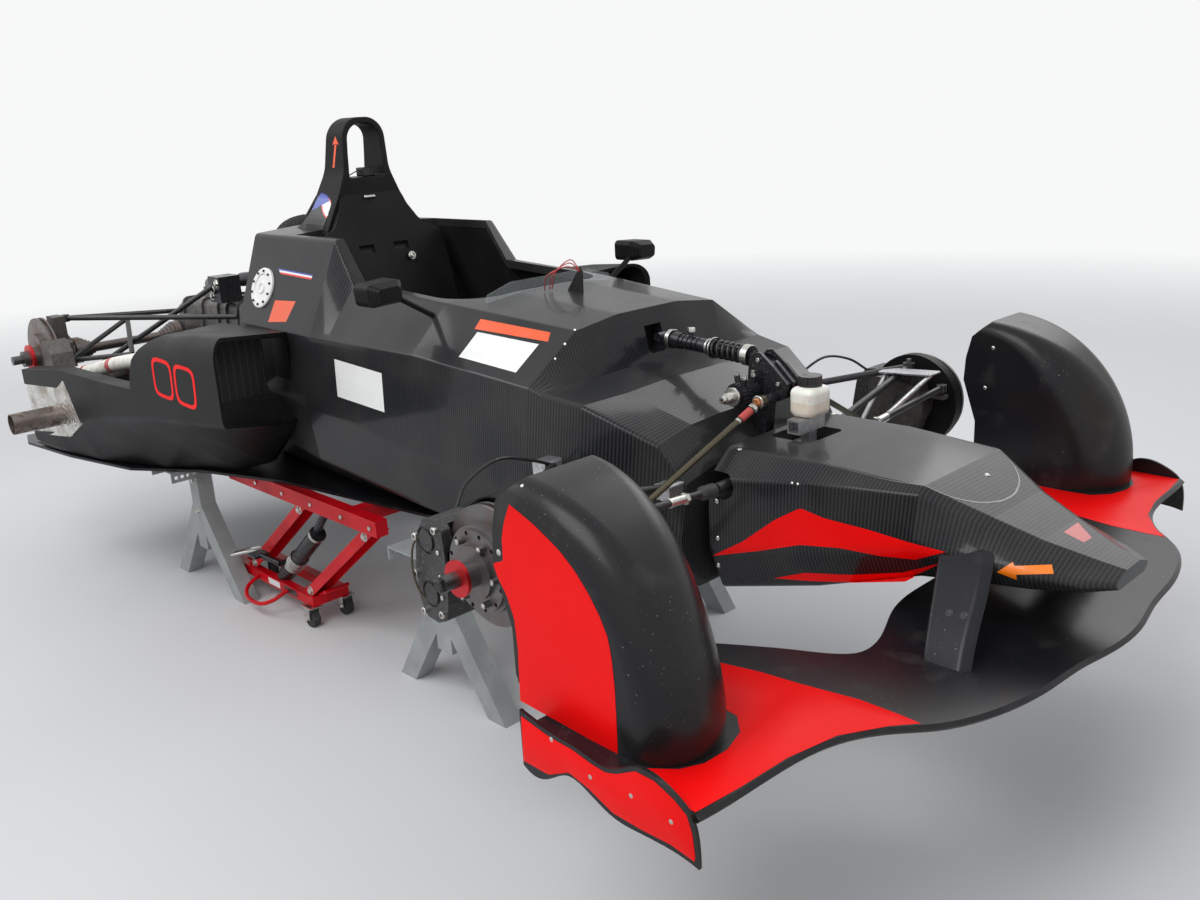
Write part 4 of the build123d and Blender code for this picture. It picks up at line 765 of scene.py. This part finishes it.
COLLARS = [("rear_collar", 0.0214, 0.0228, -0.0035, 0.0075), ("seat_ring", 0.0230, 0.0242, 0.1268, 0.1300),
           ("front_collar", 0.0216, 0.0232, 0.2165, 0.2335), ("body_ring", 0.0176, 0.0186, 0.1125, 0.1175)]
for name, inner, outer, start, end in COLLARS:
    spun(name, DAMPER_REAR, DAMPER_WAY, sleeve(inner, outer, start, end), 48, zinc)
KNOB = [(0.0, 0.0015), (0.0070, 0.0015), (0.0084, 0.0008), (0.0088, -0.002), (0.0088, -0.008), (0.0, -0.008)]
knob_place = DAMPER_REAR + DAMPER_WAY * 0.062 + (0, 0, 0.0345)
spun("damper_knob", knob_place, (0, 0, 1), KNOB, 24, zinc)
TIP = [(0.0, 0.026), (0.0028, 0.026), (0.0030, 0.0346), (0.0068, 0.0346), (0.0078, 0.0330), (0.0078, 0.0252),
       (0.0108, 0.0246), (0.0118, 0.0230), (0.0118, 0.0034), (0.0196, 0.0030), (0.0204, 0.0018),
       (0.0204, -0.0030), (0.0, -0.0030)]
spun("cross_tip", on_car((0.034, -0.100, 0.380)), OUT_RIGHT, TIP, 30, zinc)
fasteners("push_rod_bolt", [(0.092, -0.0872, 0.374)], OUT_RIGHT, 0.0095, HEXAGON, "copper",
          washer=True)
ROCKER_SIDE = 0.0262
ROCKER_SCREWS = [(0.048, 0.448), (0.100, 0.402), (0.062, 0.366), (0.034, 0.420)]
fasteners("rocker_screws", [(x, -ROCKER_SIDE, z) for x, z in ROCKER_SCREWS], OUT_RIGHT, 0.0050, BOLT_CAP,
          "zinc")
fasteners("rocker_screws_left", [(x, ROCKER_SIDE, z) for x, z in ROCKER_SCREWS[:3]], (0, 1, 0), 0.0050,
          BOLT_CAP, "zinc")
fasteners("cross_screws", [(0.0496, -0.0780, 0.4160), (0.0158, -0.0600, 0.4160), (0.0470, -0.0440, 0.4160)],
          (0, 0, 1), 0.0058, BOLT_CAP, "zinc")
ROD_RADIUS = 0.0066
for side, sign in SIDES:
    rod_top, rod_foot = on_car((0.092, sign * 0.078, 0.374)), on_car((0.002, sign * 0.582, 0.119))
    way = unit(rod_foot - rod_top)
    wrap = sleeve(ROD_RADIUS, 0.0086, 0.030, 0.062, 0.001)
    spun(f"rod_sleeve_{side}", rod_top, way, wrap, 20, sticker_paper["pale_red"])
    nut = sleeve(ROD_RADIUS, 0.0104, 0.018, 0.027, 0.001)
    spun(f"rod_nut_{side}", rod_top, way, nut, 6, zinc)
    clip = sleeve(ROD_RADIUS, 0.0082, 0.066, 0.072, 0.001)
    spun(f"rod_clip_{side}", rod_top, way, clip, 20, zinc)

# The tie rods have a ribbed rubber gaiter at the rack, and a lock nut and a threaded sleeve of
# zinc plated steel outside it. They slide across the nose with the rack.
TIE_RADIUS = 0.0078
PLEATS = [(0.0148 if k % 2 else 0.0108, 0.009 + 0.0042 * k) for k in range(11)]
GAITER = [(TIE_RADIUS, 0.006), *PLEATS, (TIE_RADIUS, 0.054), (TIE_RADIUS, 0.006)]
for side, sign in SIDES:
    rod_start, rod_end = on_car((0.112, sign * 0.245, 0.232)), on_car((0.100, sign * 0.652, 0.254))
    way = unit(rod_end - rod_start)
    spun(f"rack_gaiter_{side}", rod_start, way, GAITER, 28, castor_rubber, "rack", sharp=70.0)
    nut = sleeve(TIE_RADIUS, 0.0128, 0.090, 0.099, 0.001)
    spun(f"tie_nut_{side}", rod_start, way, nut, 6, zinc, "rack")
    thread = sleeve(TIE_RADIUS, 0.0098, 0.099, 0.140, 0.001)
    spun(f"tie_sleeve_{side}", rod_start, way, thread, 24, zinc, "rack")

# The brakes: screws through the calipers' two halves, a steel bridge pipe from one half to the
# other, studs in the disc bells, the spindles' nuts, and a rubber hose to each caliper.
CALIPER_SIDE = 0.7762
CALIPER_SCREWS = [(-0.112, 0.252), (-0.176, 0.226), (-0.186, 0.150), (-0.170, 0.076), (-0.112, 0.084)]
BLEED_SCREWS = [(-0.110, 0.208), (-0.110, 0.160), (-0.110, 0.118)]
HUB_HEIGHT = 0.200
STUD_CIRCLE = 0.061


def flowing(points, count):
    """A smooth line through the points.

    Each run is a cubic, whose slope at a point is half the step between that point's neighbours.
    """
    points = np.asarray(points, float)
    padded = np.concatenate([2 * points[:1] - points[1:2], points, 2 * points[-1:] - points[-2:-1]])
    place = np.linspace(0, len(points) - 1, count)
    run = np.minimum(place.astype(int), len(points) - 2)
    t = (place - run)[:, None]
    before, start, end, after = (padded[run + k] for k in range(4))
    return 0.5 * (2 * start + (end - before) * t + (2 * before - 5 * start + 4 * end - after) * t ** 2
                  + (3 * start - before - 3 * end + after) * t ** 3)


def sweep(paths, outline, reference=(0.0, 0.0, 1.0), swell=None):
    """An outline of (side, up) offsets carried along paths, with its side square to the reference.

    At each station: point + side offset x side + up offset x up, times the swell of that station.
    """
    paths = np.asarray(paths, float)
    paths = paths.reshape(-1, *paths.shape[-2:])
    ahead = unit(np.gradient(paths, axis=1))
    aside = unit(np.cross(ahead, np.broadcast_to(reference, ahead.shape)))
    above = np.cross(aside, ahead)
    offsets = np.asarray(outline, float)
    swell = np.ones(paths.shape[1]) if swell is None else np.asarray(swell, float)
    reach = offsets[None, None] * swell[None, :, None, None]
    return paths[:, :, None] + reach[..., :1] * aside[:, :, None] + reach[..., 1:] * above[:, :, None]


def circle(radius, columns):
    """Points round a circle."""
    turn = np.linspace(0, 2 * np.pi, columns, endpoint=False)
    return radius * np.stack([np.cos(turn), np.sin(turn)], axis=1)


def tube(name, line, radius, material, body="root", columns=14, reference=(0, 0, 1), swell=None):
    """A round tube along a line: a circle swept along it and capped at both ends."""
    skin(name, sweep(line, circle(radius, columns), reference, swell), material, body, ring=True,
         capped=True)


for side, sign in SIDES:
    caliper = f"upright_{side}"
    out = (0, sign, 0)
    fasteners(f"caliper_screws_{side}", [(x, sign * CALIPER_SIDE, z) for x, z in CALIPER_SCREWS], out, 0.0072,
              BOLT_CAP, "zinc", body=caliper)
    fasteners(f"caliper_small_{side}", [(x, sign * CALIPER_SIDE, z) for x, z in BLEED_SCREWS], out, 0.0048,
              HEXAGON, "zinc", body=caliper)
    bridge = flowing(on_car([(-0.160, sign * 0.774, 0.096), (-0.176, sign * 0.783, 0.116),
                             (-0.187, sign * 0.786, 0.160), (-0.181, sign * 0.783, 0.208),
                             (-0.160, sign * 0.774, 0.234)]), 40)
    tube(f"bridge_pipe_{side}", bridge, 0.0022, rod_steel, caliper, 10, (1, 0, 0))
    turn = np.radians(np.arange(0, 360, 60))
    studs = np.stack([STUD_CIRCLE * np.cos(turn), np.full(6, sign * 0.7895),
                      HUB_HEIGHT + STUD_CIRCLE * np.sin(turn)], axis=1)
    fasteners(f"spindle_nut_{side}", [(0.0, sign * 0.8500, HUB_HEIGHT)], out, 0.0125, HEXAGON, "black",
              body=f"hub_front_{side}")
    fasteners(f"bell_studs_{side}", studs, out, 0.0056, DOME, "zinc", body=f"hub_front_{side}")
    hose = flowing(on_car([(-0.150, sign * 0.700, 0.262), (-0.175, sign * 0.650, 0.298),
                           (-0.190, sign * 0.560, 0.318), (-0.200, sign * 0.470, 0.292),
                           (-0.200, sign * 0.400, 0.262)]), 60)
    tube(f"front_brake_hose_{side}", hose[:-1], 0.0034, blacked, columns=10)

# Domed screws hold the fenders' two faces and the nose's rear edge, one row on each side of the car.
# Columns: name, its fellow's name on the other side, places, direction that they face, radius, slot.
SHELL_SCREWS = [
    ("fender_screws_right", "fender_screws_left", [(0.174, -0.8548, 0.306)], OUT_RIGHT, 0.0060,
     "satin_carbon"),
    ("fender_inner_left", "fender_inner_right", [(0.216, 0.6552, 0.269), (0.232, 0.6552, 0.371)], OUT_RIGHT,
     0.0052, "satin_carbon"),
    ("nose_side_screws", "nose_side_screws_left", [(0.100, -0.2362, z) for z in (0.200, 0.120, 0.060)],
     OUT_RIGHT, 0.0055, "deck_carbon"),
]
for name, fellow, places, facing, radius, slot in SHELL_SCREWS:
    for each, mirror in ((name, (1, 1, 1)), (fellow, (1, -1, 1))):
        fasteners(each, np.multiply(places, mirror), np.multiply(facing, mirror), radius, DOME, "zinc")

# The filler cap on the right flank is white plastic: a flange with ten black screws round a sunk
# lid. It is one profile turned about the flank's own direction.
CAP_PLACE, CAP_FACING = (-1.540, -0.3265, 0.535), (0.0, -0.941, 0.338)
CAP = [(0.0, 0.0030), (0.012, 0.0030), (0.013, 0.0058), (0.016, 0.0058), (0.017, 0.0022), (0.040, 0.0020),
       (0.042, 0.0052), (0.0565, 0.0052), (0.0595, 0.0030), (0.0600, -0.006), (0.0, -0.006)]
spun("filler_cap", on_car(CAP_PLACE), CAP_FACING, CAP, 64, sticker_paper["white"])
CAP_SCREW_CIRCLE = 0.0492
cap_turn = np.radians(np.arange(18, 378, 36))[:, None]
cap_up = np.cross(CAP_FACING, (1, 0, 0))
cap_ring = np.array(CAP_PLACE) + CAP_SCREW_CIRCLE * (np.cos(cap_turn) * (1, 0, 0) + np.sin(cap_turn) * cap_up)
fasteners("filler_screws", cap_ring + np.array(CAP_FACING) * 0.0054, CAP_FACING, 0.0036, BOLT_CAP, "black")

# The seat back leans 15 degrees, and carries a belt bolt and a zinc latch plate. A small black
# box with a short wire sits on the sill of the roll hoop.
SEAT_LEAN = np.radians(15.0)
SEAT_OUT = (np.cos(SEAT_LEAN), 0.0, np.sin(SEAT_LEAN))
SEAT_UP = (-np.sin(SEAT_LEAN), 0.0, np.cos(SEAT_LEAN))
ACROSS = (0, 1, 0)
fasteners("belt_bolts", [(-1.358, 0.083, 0.590)], SEAT_OUT, 0.0085, BOLT_CAP, "zinc",
          washer=True)


def boxed(name, place, across, upward, size, material, bevel=0.002):
    """A small box: four corner centres, each with a quarter circle round it, layered along the third way.

    The corners' radius is twice the bevel of the edges.
    """
    across, upward = unit(across), unit(upward)
    width, height, depth = np.asarray(size) / 2
    turn = (np.radians((0, 90, 180, 270))[:, None] + np.linspace(0, np.pi / 2, 5)).ravel()
    quarter = np.stack([np.cos(turn), np.sin(turn)], axis=1) * bevel * 2
    centres = np.array([(1, 1), (-1, 1), (-1, -1), (1, -1)]) * (width - bevel * 2, height - bevel * 2)
    corners = quarter + np.repeat(centres, 5, axis=0)
    outline = on_car(place) + corners[:, :1] * across + corners[:, 1:] * upward
    steps = [(bevel, -depth), (0, bevel - depth), (0, depth - bevel), (bevel, depth)]
    rings = layered(outline, np.cross(across, upward), steps)
    skin(name, rings[None], material, ring=True, capped=True)


boxed("latch_plate", (-1.413, -0.010, 0.772), ACROSS, SEAT_UP, (0.038, 0.009, 0.010), zinc)
boxed("camera_box", (-1.470, 0.022, 0.842), ACROSS, (0, 0, 1), (0.046, 0.026, 0.034), blacked)
CAMERA_WIRE = [(-1.455, 0.0, 0.842), (-1.446, -0.02, 0.847), (-1.446, -0.04, 0.840), (-1.452, -0.057, 0.832)]
tube("camera_wire", flowing(on_car(CAMERA_WIRE), 30), 0.0016, blacked, columns=8,
     reference=(1, 0, 0))

# A small plate of black steel stands on edge on the deck, in front of the cockpit. Three stiff
# loops of thin red wire rise beside it.
DECK_BRACKET = [(-0.575, 0.0, 0.545), (-0.515, 0.0, 0.540), (-0.512, 0.0, 0.600), (-0.520, 0.0, 0.612)]
bracket_steps = [(0.001, -0.002), (0, -0.001), (0, 0.001), (0.001, 0.002)]
skin("deck_bracket", layered(on_car(DECK_BRACKET), ACROSS, bracket_steps)[None], blacked,
     ring=True, capped=True)
for index, (reach, rise) in enumerate(((0.055, 0.045), (0.075, 0.030), (0.045, 0.060))):
    loop = flowing(on_car([(-0.520, -0.002, 0.600), (-0.530, -reach * 0.5, 0.600 + rise * 0.5),
                           (-0.560, -reach, 0.590 + rise * 0.2), (-0.590, -reach * 0.8, 0.556)]), 40)
    tube(f"deck_wire_{index}", loop, 0.0014, sticker_paper["pale_red"], columns=8)

# A flat plate of bare alloy lies on the left upper arm, and two stays of the same metal run down
# and inwards from it. They show over the nose, and have no fellows on the right.
for index, (top, foot) in enumerate((((-0.026, 0.600, 0.290), (-0.026, 0.455, 0.155)),
                                     ((0.099, 0.600, 0.298), (-0.004, 0.455, 0.153)))):
    tube(f"silver_stay_{index}", spaced(on_car([top, foot]), 12), 0.0062, machined_alloy,
         columns=18)
boxed("stay_plate", (0.034, 0.606, 0.296), (1, 0, 0.06), (0, 1, 0), (0.150, 0.052, 0.006), machined_alloy)

# A pale seam of resin crosses the nose where its lid is bonded on. It is a strip 3 mm wide that
# follows one smooth curve over the nose, and it is laid on the skin.
seam_half = [(0.300, 0.158), (0.456, 0.150), (0.535, 0.128), (0.578, 0.088), (0.598, 0.040)]
seam = flowing(seam_half + [(0.603, 0.0)] + [(x, -y) for x, y in seam_half[::-1]], 120)
strip = np.stack([np.column_stack([seam[:, 0] + step, seam[:, 1], np.full(120, 0.36)])
                  for step in np.linspace(-0.0016, 0.0016, 3)], axis=1)
seam_resin = worn_finish("seam_resin", (0.34, 0.35, 0.33, 1), (0.16, 0.16, 0.15, 1), 0.35, 200.0)
film("nose_seam", on_car(strip), seam_resin, lift=(0, 0, 1), onto="nose_box")

# Rivets, screws and two punched holes lie on the slopes of the shell. Their places come from the
# photograph, and each is moved along the camera's line of sight until it sits on the skin.
# Columns: name, places near it, direction that the heads face, radius, kind, metal, node.
SLOPE_SCREWS = [
    ("deck_edge_screws", [(-0.279, -0.25, 0.519), (-0.316, -0.25, 0.483), (-0.352, -0.25, 0.446),
                          (-0.386, -0.25, 0.410), (-0.420, -0.25, 0.374)], (0.20, -0.85, 0.48), 0.0038, DOME,
     "zinc", "tub"),
    ("nose_screws", [(0.562, 0.0, 0.2845), (0.106, -0.165, 0.295), (0.106, 0.165, 0.295)], (0.10, 0, 1),
     0.0062, DOME, "zinc", "nose_box"),
    ("nose_rivets", [(0.260, -0.198, 0.262), (0.272, -0.196, 0.262)], (0.05, -0.8, 0.6), 0.0030, DOME, "zinc",
     "nose_box"),
    ("brow_rivet", [(0.227, -0.84, 0.425)], (0, -0.70, 0.71), 0.0036, DOME, "zinc", "fender_right"),
    ("pylon_holes", [(0.621, -0.24, 0.110), (0.648, -0.24, 0.113)], (0, -0.68, 0.73), 0.0048, WASHER, "black",
     "wing_pylons"),
]


def seated(places, onto):
    """Places near a node, moved onto its skin along the line to the camera."""
    places = on_car(places)
    return laid(places[None], sight(places), onto)[0] - CAR_PLACE


for name, places, facing, radius, kind, metal, onto in SLOPE_SCREWS:
    fasteners(name, seated(places, onto), facing, radius, kind, metal)

# The mirrors' glass fills the rear of each shell, inside a thin black frame. It is silvered, and
# a film of dust dulls it in places.
mirror_glass = worn_finish("mirror_glass", (0.80, 0.82, 0.83, 1), (0.55, 0.56, 0.56, 1), 0.04, 60.0,
                           spread=0.2, metal=1.0, height=0.00005)
for side, sign in SIDES:
    pane = [(-0.786, sign * y, z) for y, z in ((0.396, 0.5735), (0.464, 0.5715), (0.4735, 0.580),
                                               (0.476, 0.602), (0.469, 0.6095), (0.400, 0.6135),
                                               (0.3915, 0.606), (0.391, 0.582))]
    flat_film(f"mirror_glass_{side}", on_car(pane), (-1, 0, 0), mirror_glass, thick=0.0008)

# The lift's red arms turn on bolts with washers, and a row of bolts holds its saddle. The ram has
# an open steel spring round its foot and a zinc band at the end of its cylinder.
ARM_SIDE = -0.4372
SADDLE_SIDE = -0.446
PIVOTS = [(-1.630, -0.320), (-1.288, -0.320), (-1.291, -0.068), (-0.949, -0.068)]
fasteners("lift_pivots", [(x, ARM_SIDE, z) for x, z in PIVOTS], OUT_RIGHT, 0.0095, HEXAGON, "zinc",
          washer=True)
SADDLE_BOLTS = (-1.66, -1.52, -1.36, -1.20, -1.04, -0.90)
fasteners("lift_saddle_bolts", [(x, SADDLE_SIDE, -0.030) for x in SADDLE_BOLTS], OUT_RIGHT, 0.0070, HEXAGON,
          "zinc")
RAM_WAY, RAM_UP = np.array((0.7761, 0, 0.6306)), np.array((-0.6306, 0, 0.7761))
RAM_END = (-1.2493, -0.415, -0.1436)
SPRING_FOOT = (-1.418, -0.415, -0.281)
SPRING_TURNS, SPRING_LENGTH, SPRING_RADIUS, SPRING_WIRE = 6, 0.062, 0.0275, 0.0021
wind = np.linspace(0, 2 * np.pi * SPRING_TURNS, 200)[:, None]
spring_line = (on_car(SPRING_FOOT) + wind / (2 * np.pi * SPRING_TURNS) * SPRING_LENGTH * RAM_WAY
               + SPRING_RADIUS * (np.cos(wind) * ACROSS + np.sin(wind) * RAM_UP))
tube("pump_spring", spring_line, SPRING_WIRE, zinc, columns=8, reference=(0.3, 1, 0.2))
spun("ram_band", on_car(RAM_END), RAM_WAY, sleeve(0.0235, 0.0258, 0.0, 0.010), 32, zinc)

# Zinc plates and forks carry the lift's castors, and two blank labels lie on its base. A red
# handle and a zinc pedal bar, bent from round bar, work it and steer it.
CASTORS = [(x, y) for x in (-1.750, -1.290) for y in (-0.441, -0.329)]
for number, (x, y) in enumerate(CASTORS):
    boxed(f"castor_plate_{number}", (x, y, -0.3664), (1, 0, 0), (0, 1, 0), (0.056, 0.040, 0.0026),
          zinc, bevel=0.0006)
    for way in (-1, 1):
        boxed(f"castor_fork_{number}_{way + 1}", (x, y + way * 0.0168, -0.3860), (1, 0, 0), (0, 0, 1),
              (0.026, 0.040, 0.0026), zinc, bevel=0.0006)
    fasteners(f"castor_axle_{number}", [(x, y - 0.0180, -0.403)], OUT_RIGHT, 0.0058, HEXAGON, "zinc")
for tint, x, width in (("white", -1.500, 0.070), ("black", -1.400, 0.075)):
    boxed(f"lift_label_{tint}", (x, -0.4453, -0.350), (1, 0, 0), (0, 0, 1), (width, 0.020, 0.001),
          sticker_paper[tint], bevel=0.0003)
BARS = [
    ("lift_handle", [(-1.420, -0.444, -0.352), (-1.430, -0.490, -0.372), (-1.470, -0.515, -0.386),
                     (-1.545, -0.515, -0.386), (-1.590, -0.490, -0.372), (-1.600, -0.444, -0.352)], 0.0062,
     red_enamel, "red_paint"),
    ("pedal_bar", [(-1.532, -0.452, -0.250), (-1.590, -0.470, -0.262), (-1.640, -0.500, -0.276),
                   (-1.668, -0.480, -0.284), (-1.664, -0.430, -0.284), (-1.640, -0.405, -0.280)], 0.0055,
     zinc, "black_alloy"),
]
for name, points, radius, finish, slot in BARS:
    tube(name, flowing(on_car(points), 60), radius, finish)

# Two zinc bolts with washers go through the outer side of each trestle post, where the legs meet
# it. Smaller studs stand along both edges of the engine's cast head.
POSTS = [(-0.630, 0.435), (-1.837, 0.505)]
for number, (post_x, post_y) in enumerate(POSTS):
    for side, sign in SIDES:
        fasteners(f"post_bolts_{side}_{number}", [(post_x, sign * post_y, z) for z in (-0.072, -0.175)],
                  (0, sign, 0), 0.0085, HEXAGON, "zinc", washer=True)
head_studs = [(x, y, 0.420) for y in (-0.098, 0.098) for x in np.arange(-2.036, -1.66, 0.062)]
fasteners("head_studs", head_studs, (0, 0, 1), 0.0045, HEXAGON, "zinc")

# Rear tubes: a triangle of black struts over the right pod, two pipes in pale heat wrap that lie
# in it with bands of red tape, and two ribbed rubber hoses that bring air to the engine.
STRUT_OUT, STRUT_BACK, STRUT_IN = (-2.470, -0.600, 0.262), (-2.560, -0.350, 0.360), (-2.330, -0.440, 0.270)
for index, ends in enumerate(((STRUT_OUT, STRUT_BACK), (STRUT_OUT, STRUT_IN), (STRUT_BACK, STRUT_IN))):
    tube(f"rear_strut_{index}", spaced(on_car(ends), 12), 0.0085, black_tube, columns=16)
wrapping, place = new_finish("heat_wrap")
x, y, z = split(place)
turns = maths("PINGPONG", x * 60.0 + y * 14.0, 0.5)
stain = grade(cloud(place, 34.0, 5.0), 0.46, 0.74)
feed(wrapping, Base_Color=colour_mix(stain * 0.7, (0.80, 0.79, 0.73, 1), (0.42, 0.36, 0.28, 1)),
     Roughness=0.55 + stain * 0.2, Normal=bumped(turns * 0.3 + cloud(place, 300.0) * 0.3, 0.0010, 0.6))
PIPE_RADIUS = 0.023
TAPE_THICK = 0.0007
for index, (y_pipe, z_drop) in enumerate(((-0.600, 0.0), (-0.545, 0.012))):
    line = flowing(on_car([(-2.414, y_pipe, 0.225 - z_drop), (-2.250, y_pipe - 0.01, 0.252 - z_drop),
                           (-2.060, y_pipe, 0.296 - z_drop), (-1.904, y_pipe + 0.02, 0.325 - z_drop)]), 60)
    tube(f"wrapped_pipe_{index}", line, PIPE_RADIUS, wrapping, columns=28)
    for start in (13, 37):
        tube(f"pipe_tape_{index}_{start}", line[start:start + 4], PIPE_RADIUS + TAPE_THICK,
             sticker_paper["pale_red"], columns=28)
RIB_RISE = 0.09
RIB_STATIONS = 5.5
for index, y_hose in enumerate((-0.055, 0.055)):
    line = flowing(on_car([(-1.690, y_hose * 0.5, 0.672), (-1.760, y_hose * 0.8, 0.676),
                           (-1.850, y_hose, 0.650), (-1.915, y_hose, 0.580), (-1.930, y_hose, 0.478)]), 220)
    ribs = 1.0 + RIB_RISE * np.sin(np.arange(220) * 2 * np.pi / RIB_STATIONS)
    tube(f"air_hose_{index}", line, 0.036, castor_rubber, "root", 32, (0, 1, 0), ribs)

# The rear rockers turn on steel eyes, and hexagon bolts hold the rods and dampers to them. All
# are zinc plated, one set on each side of the gearbox.
for side, sign in SIDES:
    fasteners(f"rear_rocker_bolts_{side}", [(-2.228, sign * 0.150, 0.478), (-2.272, sign * 0.150, 0.432)],
              (0, sign, 0), 0.0095, HEXAGON, "zinc", washer=True)
    spun(f"rear_eye_{side}", on_car((-2.250, sign * 0.150, 0.455)), (0, sign, 0),
         sleeve(0.0085, 0.0150, -0.0005, 0.0085, 0.0012), 32, zinc)
